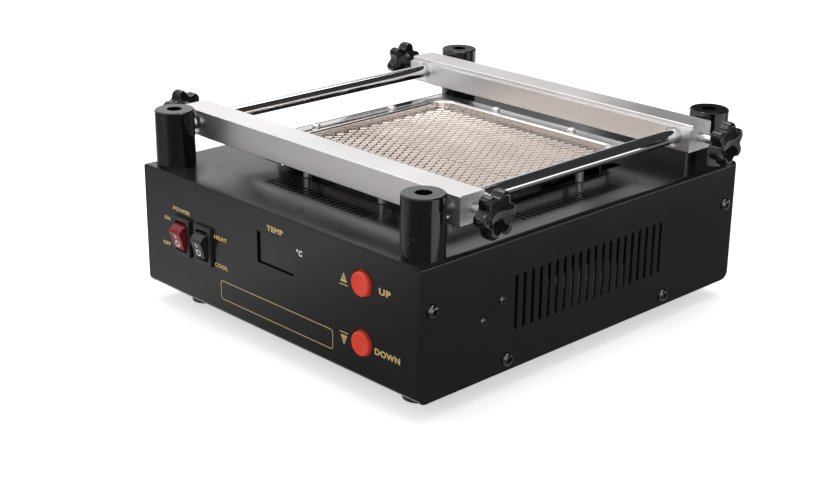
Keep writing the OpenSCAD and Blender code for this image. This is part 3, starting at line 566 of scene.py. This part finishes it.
block_ivory = pebbled(
    "block_ivory", (1800, 80), (0.5,), ((0.72, 0.68, 0.57), (0.82, 0.78, 0.69)), bump=(0.03, 0.2)
)
board_green = finish("solder_mask", (0.02, 0.14, 0.05), 0.35)
tracks = spread(board_green, lines_on(board_green, (160, 10, 900)), 0.0, 1.0)
tint(board_green, tracks, (0.014, 0.1, 0.036), (0.03, 0.18, 0.07))
print("finishes:", len(bpy.data.materials))

# %% [markdown]
# The display's lens is smoked plastic, clear-coated in the middle. Round its border it is dull
# and near black: painted shade, for the shadow that the panel's cut edge throws on it. So the
# gloss is a coat, and a mask takes the coat away and darkens the colour where a point lies
# farther from the lens's middle than the window is wide or high.

# %% Display lens
LENS_SHADE_BORDER, SMOKE = 3.7 * MM, (0.01, 0.01, 0.0105)
lens_tint = pebbled("display_lens", (300, 60), (0.07, 0.15), (SMOKE,), specular=0.02)
set_inputs(shader_of(lens_tint), Coat_Roughness=0.11)
beyond = []
for axis, low, high in zip("XYZ", *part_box("display_lens")):
    if axis != "Y":
        offset = work(lens_tint, "SUBTRACT", place_axis(lens_tint, axis), (low + high) / 2)
        away = work(lens_tint, "ABSOLUTE", offset)
        beyond.append(work(lens_tint, "GREATER_THAN", away, (high - low) / 2 - LENS_SHADE_BORDER))
border = work(lens_tint, "MAXIMUM", *beyond)
# The near-black second colour round the border is painted shade for the cut edge's shadow.
tint(lens_tint, border, SMOKE, (0.001, 0.001, 0.001))
spread(lens_tint, border, 1.0, 0.0, "Coat Weight", 0.0, 1.0)
print("finish", lens_tint.name)

# %% [markdown]
# ## Solids that stay as they are
# Most solids only need their finish. The list below goes by finish, and every carried-over solid
# has all its material slots set.

# %% Dress the solids
CORNERS = ("front_left", "front_right", "rear_left", "rear_right")
dress = [
    (case_paint, "base_chassis top_cover"), (black_screw, "post_screws"),
    (bright_zinc, "post_nuts foot_screws heater_nuts board_screws"),
    (rod_chrome, "guide_rod_left guide_rod_right"), (rail_metal, "front_rail rear_rail heat_sink"),
    (fibre_board, "insulation_board"), (ceramic, "heater_plate_front heater_plate_rear"),
    (tray_steel, "thermocouple"), (bright_brass, "switch_terminals board_spacers inlet_pins"),
    (lens_tint, "display_lens"), (board_green, "control_board"),
    (dark_plastic, "display_module tact_switches fan_frame fan_rotor triac"),
    (black_moulding, "mains_inlet fuse_holder"), (core_steel, "transformer"),
    (block_ivory, "terminal_block"),
    (foot_rubber, " ".join("foot_" + corner for corner in CORNERS)),
    (post_paint, " ".join("post_" + corner for corner in CORNERS)),
]
for coat, names in dress:
    for node_name in names.split():
        slots = solids[node_name].data.materials
        slots.clear()
        slots.append(coat)
print("dressed", sum(len(names.split()) for coat, names in dress), "solids")

# %% [markdown]
# ## Making a piece
# Every new piece is a bmesh until it is done. One helper turns it into an object: it smooths
# the faces but keeps sharp corners, hangs the piece on its body, and hides the solids that it
# stands for. The others grow a shape ring by ring, or round its corners.

# %% Helpers for pieces
NEAR = 1e-6


def even(made):
    """Lets large flat faces keep their own normals beside small bevels."""
    made.modifiers.new("even", "WEIGHTED_NORMAL").keep_sharp = True


def piece(name, bm, coat, body, stands_for, corner=35.0, turn=True):
    if turn:
        bmesh.ops.recalc_face_normals(bm, faces=bm.faces)
    mesh = mesh_of(name, bm)
    mesh.shade_smooth()
    mesh.set_sharp_from_angle(angle=math.radians(corner))
    mesh.materials.append(coat)
    made = placed(name, mesh)
    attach(made, body)
    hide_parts(*stands_for)
    print(name, len(mesh.polygons), "faces")
    return made


def verts_in(geom):
    return [g for g in geom if isinstance(g, bmesh.types.BMVert)]


def grown(bm, edges):
    """Extrudes a loop of edges and gives its new vertices and edges."""
    result = bmesh.ops.extrude_edge_only(bm, edges=edges)["geom"]
    verts = verts_in(result)
    found = [g for g in result if isinstance(g, bmesh.types.BMEdge)]
    return verts, [e for e in found if all(v in verts for v in e.verts)]


def ring_of(bm, segments, radius):
    """A circle round Z: its vertices and its edges."""
    verts = bmesh.ops.create_circle(bm, cap_ends=False, segments=segments, radius=radius)["verts"]
    return verts, list({e for v in verts for e in v.link_edges})


def set_ring(verts, height, radii):
    """Moves a ring to a height, its vertices in turn to the given distances from Z."""
    order = sorted(verts, key=lambda v: math.atan2(v.co.y, v.co.x) % (2 * math.pi))
    for count, vert in enumerate(order):
        flat = Vector((vert.co.x, vert.co.y, 0.0)).normalized() * radii[count % len(radii)]
        vert.co = (flat.x, flat.y, height)


def closed(bm, edges):
    bmesh.ops.contextual_create(bm, geom=edges)


def stacked(bm, edges, rings):
    """Grows a ring through the given heights and radii, closes it, and gives its vertices."""
    made = []
    for height, radii in rings:
        verts, edges = grown(bm, edges)
        set_ring(verts, height, radii)
        made += verts
    closed(bm, edges)
    return made


def lift(bm, verts, height):
    bmesh.ops.translate(bm, vec=(0, 0, height), verts=verts)


def rounded(bm, geom, offset, segments, affect="EDGES"):
    bmesh.ops.bevel(
        bm, geom=geom, offset=offset, segments=segments, profile=0.5, affect=affect, material=-1
    )


def rounded_face(bm, half_x, half_y, radius, segments, height):
    """A flat face: a rectangle whose corners are bevelled round."""
    quad = bmesh.ops.create_grid(bm, x_segments=1, y_segments=1, size=1.0)["verts"]
    bmesh.ops.scale(bm, vec=(half_x, half_y, 1.0), verts=quad)
    lift(bm, quad, height)
    rounded(bm, quad, radius, segments, "VERTICES")
    level = [f for f in bm.faces if all(abs(v.co.z - height) < NEAR / 10 for v in f.verts)]
    return max(level, key=lambda f: f.index if f.index >= 0 else len(bm.faces))


def rounded_loop(*sizes):
    """The edges of such a face, without it."""
    face = rounded_face(*sizes)
    edges = list(face.edges)
    bmesh.ops.delete(sizes[0], geom=[face], context="FACES_ONLY")
    return edges


print("piece helpers ready")

# %% [markdown]
# ## Heater tray
# The tray is pressed from one stainless sheet: a flange, a bend, a wall, a ledge for the guard
# and a well for the ceramics. It grows from the flange inwards, one extruded loop at a time,
# so the bend can be bevelled before Solidify gives the sheet its thickness. The bright line
# round the heater is that bend catching the light.

# %% Heater tray
tray_low, tray_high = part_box("heater_tray")
guard_low, guard_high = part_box("guard_mesh")
FLANGE, FLANGE_HALF, FLANGE_CORNER = tray_high.z, tray_high.x, 4 * MM
TRAY_HALF, TRAY_CORNER = guard_high.x + 0.2 * MM, 9.2 * MM
LEDGE, LEDGE_WIDE = guard_low.z, 4.2 * MM
SHEET, BEND = 0.8 * MM, 1.4 * MM
CORNER_STEPS = 6
bm = bmesh.new()
outer = rounded_loop(bm, FLANGE_HALF, FLANGE_HALF, FLANGE_CORNER, CORNER_STEPS, FLANGE)
inner = rounded_loop(bm, TRAY_HALF, TRAY_HALF, TRAY_CORNER, CORNER_STEPS, FLANGE)
bmesh.ops.bridge_loops(bm, edges=outer + inner)
wall, wall_rim = grown(bm, inner)
lift(bm, wall, LEDGE - FLANGE)
ledge, ledge_rim = grown(bm, wall_rim)
shrink = (TRAY_HALF - LEDGE_WIDE) / TRAY_HALF
bmesh.ops.scale(bm, vec=(shrink, shrink, 1.0), verts=ledge)
well, well_rim = grown(bm, ledge_rim)
lift(bm, well, tray_low.z + SHEET - LEDGE)
closed(bm, well_rim)
rounded(bm, [e for e in inner if e.is_valid], BEND, 4)
bmesh.ops.recalc_face_normals(bm, faces=bm.faces)
farthest = lambda f: f.calc_center_median().z + f.calc_center_median().xy.length
if max(bm.faces, key=farthest).normal.z < 0:
    bmesh.ops.reverse_faces(bm, faces=bm.faces)
tray = piece(
    "pressed_heater_tray", bm, tray_steel, "case", ["heater_tray"], turn=False
)
sheet = tray.modifiers.new("sheet", "SOLIDIFY")
sheet.thickness = SHEET
sheet.offset = -1.0
even(tray)

# %% [markdown]
# ## Expanded-metal guard
# Expanded metal is slit and pulled open, so each strand is a zigzag ribbon that stands at a
# slant and touches its neighbours at the knuckles. One ribbon is an edge extruded step by step
# along the zigzag. Copies of it, every other one half a step out of phase, make the whole sheet,
# and four cuts trim the corners to the tray's round ones. The faces stay flat: smooth shading
# would turn the thin ribbons into round wire.

# %% Guard
GUARD_HALF, GUARD_CUT = guard_high.x - 0.3 * MM, 2.7 * MM
LONG, SHORT = 0.0091, 0.0054
RIBBON, STRAND, SLANT = 1.0 * MM, 0.4 * MM, math.radians(41)
bm = bmesh.new()
steps = int(2 * GUARD_HALF / (LONG / 2))
columns = int(2 * GUARD_HALF / (SHORT / 2))
across = Vector((-math.cos(SLANT), 0, math.sin(SLANT))) * RIBBON / 2
middle = (guard_low.z + guard_high.z) / 2
for phase in (0, 1):
    low_end = Vector((phase * SHORT - columns * SHORT / 4, -steps * LONG / 4, middle))
    ribbon = [bm.verts.new(low_end + across), bm.verts.new(low_end - across)]
    edges = [bm.edges.new(ribbon)]
    for step in range(steps):
        way = 1 if (step + phase) % 2 == 0 else -1
        verts, edges = grown(bm, edges)
        bmesh.ops.translate(bm, vec=(way * SHORT / 2, LONG / 2, 0), verts=verts)
        ribbon += verts
    faces = list({f for v in ribbon for f in v.link_faces})
    for copy in range(1, columns // 2):
        verts = verts_in(bmesh.ops.duplicate(bm, geom=faces)["geom"])
        bmesh.ops.translate(bm, vec=(copy * SHORT, 0, 0), verts=verts)
for sx, sy in ((-1, -1), (-1, 1), (1, -1), (1, 1)):
    bmesh.ops.bisect_plane(
        bm, geom=bm.verts[:] + bm.edges[:] + bm.faces[:], plane_no=(sx, sy, 0), clear_outer=True,
        plane_co=(sx * (GUARD_HALF - GUARD_CUT), sy * (GUARD_HALF - GUARD_CUT), 0),
    )
guard = piece("expanded_guard", bm, guard_steel, "case", ["guard_mesh"], turn=False)
guard.data.shade_flat()
strand = guard.modifiers.new("strand", "SOLIDIFY")
strand.thickness = STRAND
strand.offset = 0.0

# %% [markdown]
# ## Screws
# A pan head with a cross recess is a small plus-shaped grid, sunk into the head, with its
# outline bridged to a circle that is then rolled down over the edge. One head is shaped at the
# origin for each loose part of the solid, then turned and set on the flange, a wall or the rear
# panel.

# %% Screw heads
RECESS_ARM, RECESS_SLOT = 0.52, 0.13
RECESS_TAPER, RECESS_DEPTH = 0.75, 0.75
CROWN, CROWN_HEIGHT = 0.66, 0.96
ROLL = ((0.88, 0.76), (0.97, 0.5), (1.0, 0.25), (1.0, 0.0))


def cross_head(bm, radius, height):
    before = set(bm.verts)
    grid = bmesh.ops.create_grid(bm, x_segments=3, y_segments=3, size=1.0)["verts"]
    arm, slot = radius * RECESS_ARM, radius * RECESS_SLOT
    for vert in grid:
        for axis in (0, 1):
            side = 1 if vert.co[axis] > 0 else -1
            vert.co[axis] = side * (arm if abs(vert.co[axis]) > 0.5 else slot)
        vert.co.z = height
    fresh = [f for f in bm.faces if all(v in grid for v in f.verts)]
    corners = [f for f in fresh if min(abs(c) for c in f.calc_center_median().xy) > slot]
    bmesh.ops.delete(bm, geom=corners, context="FACES")
    plus = [f for f in bm.faces if all(v not in before for v in f.verts)]
    rim = [e for f in plus for e in f.edges if len(e.link_faces) == 1]
    sunk = verts_in(bmesh.ops.extrude_face_region(bm, geom=plus)["geom"])
    bmesh.ops.delete(bm, geom=[f for f in plus if f.is_valid], context="FACES_ONLY")
    bmesh.ops.scale(bm, vec=(RECESS_TAPER, RECESS_TAPER, 1.0), verts=sunk)
    lift(bm, sunk, -height * RECESS_DEPTH)
    ring, edges = ring_of(bm, 24, radius * CROWN)
    lift(bm, ring, height * CROWN_HEIGHT)
    bmesh.ops.bridge_loops(bm, edges=[e for e in rim if e.is_valid] + edges)
    stacked(bm, edges, [(height * drop, [radius * share]) for share, drop in ROLL])
    return [v for v in bm.verts if v not in before]


def box_of(points):
    """Lowest and highest corner of some points."""
    return [Vector([pick(c) for c in zip(*points)]) for pick in (min, max)]


def islands(node_name):
    """The box of each loose part of a solid."""
    bm = bmesh.new()
    bm.from_mesh(solids[node_name].data)
    bmesh.ops.remove_doubles(bm, verts=bm.verts, dist=NEAR)
    left, found = set(bm.verts), []
    while left:
        queue, group = [left.pop()], []
        while queue:
            vert = queue.pop()
            group.append(vert.co.copy())
            for edge in vert.link_edges:
                other = edge.other_vert(vert)
                if other in left:
                    left.remove(other)
                    queue.append(other)
        found.append(box_of(group))
    bm.free()
    return found


def screw_set(name, coat, node_name, head, axis, seat, shank_radius, reach=None):
    """Heads and shanks: the seat is where the heads begin along their axis."""
    bm = bmesh.new()
    for low, high in islands(node_name):
        place = (low + high) / 2
        side = -1 if axis == 0 and place.x < 0 else 1
        place[axis] = side * seat
        shank = reach or seat - low[axis]
        out = Vector((0, 0, 0))
        out[axis] = side
        verts = cross_head(bm, *head)
        low_part = bmesh.ops.create_cone(
            bm, cap_ends=True, segments=12, radius1=shank_radius, radius2=shank_radius, depth=shank
        )["verts"]
        lift(bm, low_part, -shank / 2)
        spin = Matrix.Rotation(place.x * 900 + place.y * 700, 4, "Z")
        aim = out.to_track_quat("Z", "Y").to_matrix().to_4x4()
        seated = Matrix.Translation(place) @ aim @ spin
        bmesh.ops.transform(bm, matrix=seated, verts=verts + low_part)
    return piece(name, bm, coat, "case", [node_name])


X, Y, Z = 0, 1, 2
PAN, PAN_SHANK = (3.5 * MM, 2.0 * MM), 2.0 * MM
SMALL_SHANK = 1.5 * MM
INLET_HEAD = (2.75 * MM, 1.6 * MM)
inlet_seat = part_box("inlet_screws")[1].y - INLET_HEAD[1]
screw_set("heater_flange_screws", bright_zinc, "heater_screws",
          (2.6 * MM, 2.0 * MM), Z, FLANGE, SMALL_SHANK)
screw_set("cover_pan_screws", black_screw, "cover_screws",
          PAN, X, SIDE, PAN_SHANK, reach=6 * MM)
screw_set("heat_sink_screws", black_screw, "sink_screws",
          (2.1 * MM, 1.3 * MM), X, SIDE, SMALL_SHANK, reach=4.2 * MM)
screw_set("fan_pan_screws", black_screw, "fan_screws", PAN, Y, REAR, PAN_SHANK)
screw_set("inlet_pan_screws", black_screw, "inlet_screws",
          INLET_HEAD, Y, inlet_seat, SMALL_SHANK)

# %% [markdown]
# ## Clamp knobs and studs
# A lobed knob is moulded, so it has no sharp edge anywhere. Rings of 24 points are extruded one
# from the next, each set to a height and to a pattern of four distances: tip, shoulder, valley,
# shoulder. Subdivision then rounds the rings into six soft lobes, and the last rings sink into
# the dished face. Each knob came to rest at an angle of its own, which is read off the solid:
# its farthest corner from the axis is the tip of a lobe. Studs, and the spacers under the
# heater, get their thread from rings that swap between two radii.

# %% Knobs, studs and spacers
rod_low, rod_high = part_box("guide_rod_left")
CLAMP_HEIGHT = (rod_low.z + rod_high.z) / 2
HUB = 4.5 * MM
HALF_PITCH, ROOT, CREST, CHAMFER = 0.0005, 0.86, 0.99, 0.8
THREAD_ANGLE = 80.0


def outward(place, side):
    turn = Matrix.Rotation(math.radians(90 * side), 4, "Y")
    return Matrix.Translation(place) @ turn


def lobes(tip, shoulder, valley):
    return [tip, shoulder, valley, shoulder]


def lobed_knob(corner):
    low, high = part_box("knob_" + corner)
    side = 1 if low.x > 0 else -1
    depth = (high.x - low.x) / MM
    stud_low, stud_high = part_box("stud_" + corner)
    inner_end = low.x if side > 0 else high.x
    place = Vector((inner_end, (stud_low.y + stud_high.y) / 2, CLAMP_HEIGHT))
    into = outward(place, side).inverted()
    points = [into @ v.co for v in solids["knob_" + corner].data.vertices]
    tip = max(points, key=lambda p: p.xy.length)
    bm = bmesh.new()
    ring, edges = ring_of(bm, 24, HUB)
    closed(bm, edges)
    rings = [
        (0.0, [4.9]), (0.5, [5.2]), (2.7, [7.0]), (3.3, lobes(9.4, 9.0, 7.2)),
        (3.6, lobes(12.0, 11.3, 7.4)), (4.6, lobes(12.8, 12.0, 7.6)),
        (depth - 1.9, lobes(12.8, 12.0, 7.6)), (depth - 0.5, lobes(12.4, 11.6, 7.5)),
        (depth, lobes(11.1, 10.5, 7.2)), (depth - 0.25, lobes(9.1, 8.9, 6.9)),
        (depth - 1.3, [6.5]), (depth - 2.4, [4.3]), (depth - 2.9, [2.0]),
    ]
    stacked(bm, edges, [(h * MM, [radius * MM for radius in radii]) for h, radii in rings])
    far = max(bm.verts, key=lambda v: v.co.xy.length).co
    clock = math.atan2(tip.y, tip.x) - math.atan2(far.y, far.x)
    spun = outward(place, side) @ Matrix.Rotation(clock, 4, "Z")
    bmesh.ops.transform(bm, matrix=spun, verts=bm.verts)
    node_name = "knob_" + corner
    knob = piece("lobed_" + node_name, bm, knob_phenolic, node_name, [node_name])
    soft = knob.modifiers.new("soft", "SUBSURF")
    soft.levels = soft.render_levels = 2


def threaded_rod(bm, radius, length):
    """A bar along Z whose rings step in and out, as a thread does."""
    ring, edges = ring_of(bm, 20, radius * CHAMFER)
    closed(bm, edges)
    turns = int(length / HALF_PITCH)
    radii = [[radius * (CREST if step % 2 else ROOT)] for step in range(1, turns + 1)]
    heights = [step * length / turns for step in range(1, turns + 1)]
    return list(ring) + stacked(bm, edges, zip(heights, radii))


def threaded_stud(corner):
    node_name = "stud_" + corner
    low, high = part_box(node_name)
    side = 1 if low.x > 0 else -1
    place = (low + high) / 2
    place.x = low.x if side > 0 else high.x
    bm = bmesh.new()
    threaded_rod(bm, (high.z - low.z) / 2, high.x - low.x)
    bmesh.ops.transform(bm, matrix=outward(place, side), verts=bm.verts)
    piece("threaded_" + node_name, bm, bright_zinc, node_name, [node_name],
          corner=THREAD_ANGLE)


for corner in CORNERS:
    lobed_knob(corner)
    threaded_stud(corner)

bm = bmesh.new()
for low, high in islands("heater_spacers"):
    verts = threaded_rod(bm, (high.x - low.x) / 2, high.z - low.z)
    middle = (low + high) / 2
    bmesh.ops.translate(bm, vec=(middle.x, middle.y, low.z), verts=verts)
piece("threaded_spacers", bm, spacer_nickel, "case", ["heater_spacers"],
      corner=THREAD_ANGLE)

# %% [markdown]
# ## Rocker switches
# Each switch is a moulded frame that snaps into the panel, with a rocker in its well. The frame
# is a loop whose inner copy is shifted in to make the border, then extruded back as the well,
# its front edges bevelled. The rocker's side view is two arcs about the pivot and one shallow
# arc for the hollow face, each swept by spinning one vertex. At rest the face leans down by half
# of the rocker's tip, so the upper ridge stands out of the frame.

# %% Switch frames
FRAME_CORNER, FRAME_BORDER, FRAME_EDGE = 0.9 * MM, 2.5 * MM, 0.5 * MM
WELL_DEEP, BARREL_DEEP = 14 * MM, 16 * MM
BARREL_IN_X, BARREL_IN_Z = 1.0 * MM, 1.2 * MM


def is_crest(edge, height):
    """True where two faces meet squarely along an edge at this height."""
    if len(edge.link_faces) != 2 or any(abs(v.co.z - height) >= NEAR for v in edge.verts):
        return False
    return abs(edge.link_faces[0].normal.dot(edge.link_faces[1].normal)) < 0.5


def switch_frame(node_name):
    low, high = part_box(node_name)
    half_x, half_z = (high.x - low.x) / 2, (high.z - low.z) / 2
    proud = FRONT - low.y
    bm = bmesh.new()
    rim = rounded_loop(bm, half_x, half_z, FRAME_CORNER, 3, proud)
    border, well_rim = grown(bm, rim)
    for vert in border:
        vert.co.x -= math.copysign(FRAME_BORDER, vert.co.x)
        vert.co.y -= math.copysign(FRAME_BORDER, vert.co.y)
    well, floor_rim = grown(bm, well_rim)
    lift(bm, well, -WELL_DEEP)
    closed(bm, floor_rim)
    skirt, skirt_rim = grown(bm, rim)
    lift(bm, skirt, -proud)
    barrel, barrel_rim = grown(bm, skirt_rim)
    shrink = (1 - BARREL_IN_X / half_x, 1 - BARREL_IN_Z / half_z, 1)
    bmesh.ops.scale(bm, vec=shrink, verts=barrel)
    back, back_rim = grown(bm, barrel_rim)
    lift(bm, back, -BARREL_DEEP)
    closed(bm, back_rim)
    rounded(bm, [e for e in bm.edges if is_crest(e, proud)], FRAME_EDGE, 3)
    place = Matrix.Translation(((low.x + high.x) / 2, FRONT, (low.z + high.z) / 2))
    bmesh.ops.transform(bm, matrix=place @ STAND, verts=bm.verts)
    even(piece("moulded_" + node_name, bm, black_moulding, "case", [node_name]))


for node_name in ("power_switch", "mode_switch"):
    switch_frame(node_name)

# %% [markdown]
# The pivot and the tip of each rocker are read from its joint. The closed side view becomes a
# face, which is extruded to the rocker's width, and its sharp edges are bevelled.

# %% Rockers
DISH = 0.5 * MM
ROCKER_GAP, ROCKER_EDGE, ROCKER_BACK = 1.05 * MM, 0.4 * MM, 3 * MM
PIN_RADIUS, PIN_ENDS = 1.5 * MM, 0.5 * MM
ARC_STEPS = 8
X_AXIS, ORIGIN = (1, 0, 0), (0, 0, 0)


def rocker_piece(node_name, coat):
    low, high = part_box(node_name)
    joint = [j for j in frame["joints"] if j["child"] == node_name][0]
    pivot = Vector(joint["pos_m"])
    lean = math.radians(joint["range_deg"][1]) / 2
    half_w = (high.x - low.x) / 2 - ROCKER_GAP
    radius = high.z - pivot.z
    half = math.acos((pivot.y - low.y) / radius) + lean
    chord, face_y = radius * math.sin(half), -radius * math.cos(half)
    hollow = (chord**2 + DISH**2) / (2 * DISH)
    centre = hollow - DISH - face_y
    back = math.acos(-ROCKER_BACK / radius) - half
    tip = Matrix.Rotation(lean, 3, "X")
    bm = bmesh.new()
    upper = bm.verts.new(tip @ Vector((0, face_y, chord)))
    lower = bm.verts.new(tip @ Vector((0, face_y, -chord)))
    dish = -2 * math.asin(chord / hollow)
    middle = tip @ Vector((0, -centre, 0))
    arcs = ((upper, ORIGIN, -back), (upper, middle, dish), (lower, ORIGIN, back))
    for start, around, angle in arcs:
        bmesh.ops.spin(bm, geom=[start], cent=around, axis=X_AXIS, angle=angle, steps=ARC_STEPS)
    bmesh.ops.remove_doubles(bm, verts=bm.verts, dist=NEAR)
    bm.edges.new([v for v in bm.verts if len(v.link_edges) == 1])
    closed(bm, bm.edges[:])
    bmesh.ops.translate(bm, vec=(-half_w, 0, 0), verts=bm.verts)
    other_side = verts_in(bmesh.ops.extrude_face_region(bm, geom=bm.faces[:])["geom"])
    bmesh.ops.translate(bm, vec=(2 * half_w, 0, 0), verts=other_side)
    bmesh.ops.recalc_face_normals(bm, faces=bm.faces)
    creased = [e for e in bm.edges if len(e.link_faces) == 2]
    keen = [e for e in creased if e.calc_face_angle(0) > math.radians(30)]
    rounded(bm, keen, ROCKER_EDGE, 3)
    pin = bmesh.ops.create_cone(
        bm, cap_ends=True, segments=16, radius1=PIN_RADIUS, radius2=PIN_RADIUS,
        depth=2 * half_w + PIN_ENDS,
    )["verts"]
    sideways = Matrix.Rotation(math.radians(90), 3, "Y")
    bmesh.ops.rotate(bm, cent=ORIGIN, matrix=sideways, verts=pin)
    bmesh.ops.translate(bm, vec=pivot, verts=bm.verts)
    even(piece("moulded_" + node_name, bm, coat, node_name, [node_name]))
    return pivot, lean, centre, hollow


power_face = rocker_piece("power_rocker", rocker_red)
mode_face = rocker_piece("mode_rocker", black_moulding)

# %% [markdown]
# ## Print
# Words are set as text, turned into a mesh, scaled to the width that they have on the panel and
# stood up on it, a hair in front of the paint. The table gives each word's middle, from the
# middle of the panel and its lower edge, and its width and height, all in millimetres.

# %% Words
INK = 0.04 * MM
WEIGHT, SPACING, THICK = 0.045, 1.12, 0.01


def on_panel(x, z):
    return Vector((x * MM, FRONT, LOWER_EDGE + z * MM))


def stood_on_panel(mesh, name, place, ink, body="case", turn=STAND):
    mesh.transform(Matrix.Translation(place) @ turn)
    mesh.name = name
    mesh.materials.clear()
    mesh.materials.append(ink)
    made = placed(name, mesh)
    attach(made, body)


def word_mesh(word, width, height):
    curve = bpy.data.curves.new("word", "FONT")
    curve.body = word
    curve.offset = WEIGHT
    curve.space_character = SPACING
    curve.extrude = THICK
    holder = placed("word", curve)
    bpy.context.view_layer.update()
    evaluated = holder.evaluated_get(bpy.context.evaluated_depsgraph_get())
    mesh = bpy.data.meshes.new_from_object(evaluated)
    bpy.data.objects.remove(holder)
    bpy.data.curves.remove(curve)
    low, high = box_of([v.co for v in mesh.vertices])
    centred = Matrix.Translation((-(low.x + high.x) / 2, -(low.y + high.y) / 2, 0))
    size = (width / (high.x - low.x), height / (high.y - low.y), INK / (2 * THICK), 1.0)
    mesh.transform(Matrix.Diagonal(size) @ centred)
    return mesh


words = {
    "POWER": (-76.5, 51.6, 15.5, 2.3), "ON": (-90.3, 44.1, 5.4, 2.2),
    "OFF": (-91.8, 28.9, 7.0, 2.2), "HEAT": (-42.0, 44.6, 11.2, 2.3),
    "COOL": (-42.0, 28.7, 11.4, 2.3), "TEMP": (4.3, 61.7, 13.0, 3.0),
    "°C": (23.6, 54.8, 4.6, 3.4), "UP": (86.8, 51.9, 8.2, 3.5), "DOWN": (88.8, 19.6, 18.0, 3.5),
}
for word, (x, z, width, height) in words.items():
    name, ink = "print_" + word.lower(), gold_ink
    if word == "°C":
        name, ink = "print_degrees", white_ink
    place = on_panel(x, z) - Vector((0, INK / 2, 0))
    stood_on_panel(word_mesh(word, width * MM, height * MM), name, place, ink)
print("words:", len(words))

# %% [markdown]
# Beside the buttons stand two signs, a stepped arrowhead over a bar and the same upside down,
# and a thin rounded line frames the lower middle of the panel. An arrow is a stack of grids of
# one face, each drawn out to its widths below and above. The line is a bevelled loop, inset.

# %% Signs and line frame
LINE, LINE_CORNER = 0.45, 2.0


def flat_sign(name, bands, x, z, flip=1):
    bm = bmesh.new()
    for low, high, wide_low, wide_high in bands:
        for vert in bmesh.ops.create_grid(bm, x_segments=1, y_segments=1, size=0.5)["verts"]:
            up, wide = (high, wide_high) if vert.co.y > 0 else (low, wide_low)
            vert.co = (math.copysign(wide / 2, vert.co.x) * MM, flip * up * MM, 0)
    bmesh.ops.remove_doubles(bm, verts=bm.verts, dist=NEAR / 10)
    raised = verts_in(bmesh.ops.extrude_face_region(bm, geom=bm.faces[:])["geom"])
    lift(bm, raised, INK)
    bmesh.ops.recalc_face_normals(bm, faces=bm.faces)
    stood_on_panel(mesh_of(name, bm), name, on_panel(x, z), gold_ink)


def line_frame(name, x_low, x_high, z_low, z_high):
    bm = bmesh.new()
    half_x, half_z = (x_high - x_low) / 2 * MM, (z_high - z_low) / 2 * MM
    face = rounded_face(bm, half_x, half_z, LINE_CORNER * MM, CORNER_STEPS, INK)
    bmesh.ops.inset_region(bm, faces=[face], thickness=LINE * MM, use_boundary=True)
    bmesh.ops.delete(bm, geom=[face], context="FACES_ONLY")
    place = on_panel((x_low + x_high) / 2, (z_low + z_high) / 2)
    stood_on_panel(mesh_of(name, bm), name, place, gold_ink)


arrow = [(2.0, 3.8, 2.2, 0.1), (0.8, 1.6, 3.4, 2.7), (-1.1, 0.4, 4.8, 3.7), (-2.8, -2.3, 6.1, 6.1)]
flat_sign("sign_up", arrow, 57.3, 50.3)
flat_sign("sign_down", arrow, 57.3, 19.7, flip=-1)
line_frame("print_line_frame", -43, 49, 10, 21)
print("signs made")

# %% [markdown]
# The rockers carry moulded marks in white: a ring for off and a stroke for on. They follow the
# hollow of the face and ride on the rockers, so they tip with them.

# %% Rocker marks
MARK_INNER, MARK_OUTER, MARK_LOW = 1.3 * MM, 2.0 * MM, -2.1 * MM
STROKE_WIDE, STROKE_LONG, STROKE_HIGH = 0.8 * MM, 3.2 * MM, 2.6 * MM


def rocker_marks(node_name, face, coat):
    pivot, lean, centre, hollow = face
    ring = bmesh.new()
    verts, edges = grown(ring, ring_of(ring, 24, MARK_INNER)[1])
    set_ring(verts, 0.0, [MARK_OUTER])
    stroke = bmesh.new()
    bmesh.ops.create_grid(stroke, x_segments=1, y_segments=4, size=0.5)
    bmesh.ops.scale(stroke, vec=(STROKE_WIDE, STROKE_LONG, 1), verts=stroke.verts)
    turn = Matrix.Rotation(math.radians(90) + lean, 4, "X")
    for name, shape, along in (("mark_off_", ring, MARK_LOW), ("mark_on_", stroke, STROKE_HIGH)):
        for vert in shape.verts:
            up = vert.co.y + along
            vert.co = (vert.co.x, up, centre - math.sqrt(hollow**2 - up**2) + INK)
        mesh = mesh_of(name, shape)
        stood_on_panel(mesh, name + node_name, pivot, coat, node_name, turn)


rocker_marks("power_rocker", power_face, white_ink)
rocker_marks("mode_rocker", mode_face, white_ink)
print("marks made")

# %% [markdown]
# ## Buttons
# The push buttons are flat red discs with a rolled edge and a faint hollow for the finger. A
# circle is grown ring by ring from the middle of the face out over the edge and back into the
# panel, to the flange and stem that the solid has behind it.

# %% Buttons
HOLLOW, HOLLOW_DEEP = 2.0 * MM, 0.4
CAP, STEM = 6.4, 2.5
FLANGE_FRONT, FLANGE_BACK = -1.25, -2.45


def push_button(node_name):
    low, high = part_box(node_name)
    place = Vector(((low.x + high.x) / 2, FRONT, (low.z + high.z) / 2))
    proud = (FRONT - low.y) / MM
    back = (high.y - FRONT) / MM
    flange = (high.x - low.x) / 2 / MM
    bm = bmesh.new()
    ring, edges = ring_of(bm, 48, HOLLOW)
    set_ring(ring, (proud - HOLLOW_DEEP) * MM, [HOLLOW])
    closed(bm, edges)
    rings = [
        (3.6, proud - 0.34), (4.7, proud - 0.16), (5.4, proud), (5.9, proud - 0.1),
        (6.25, proud - 0.4), (CAP, proud - 0.9), (CAP, FLANGE_FRONT), (flange, FLANGE_FRONT),
        (flange, FLANGE_BACK), (STEM, FLANGE_BACK), (STEM, -back),
    ]
    stacked(bm, edges, [(height * MM, [radius * MM]) for radius, height in rings])
    bmesh.ops.transform(bm, matrix=Matrix.Translation(place) @ STAND, verts=bm.verts)
    piece("round_" + node_name, bm, button_red, node_name, [node_name], corner=50.0)


push_button("up_button")
push_button("down_button")
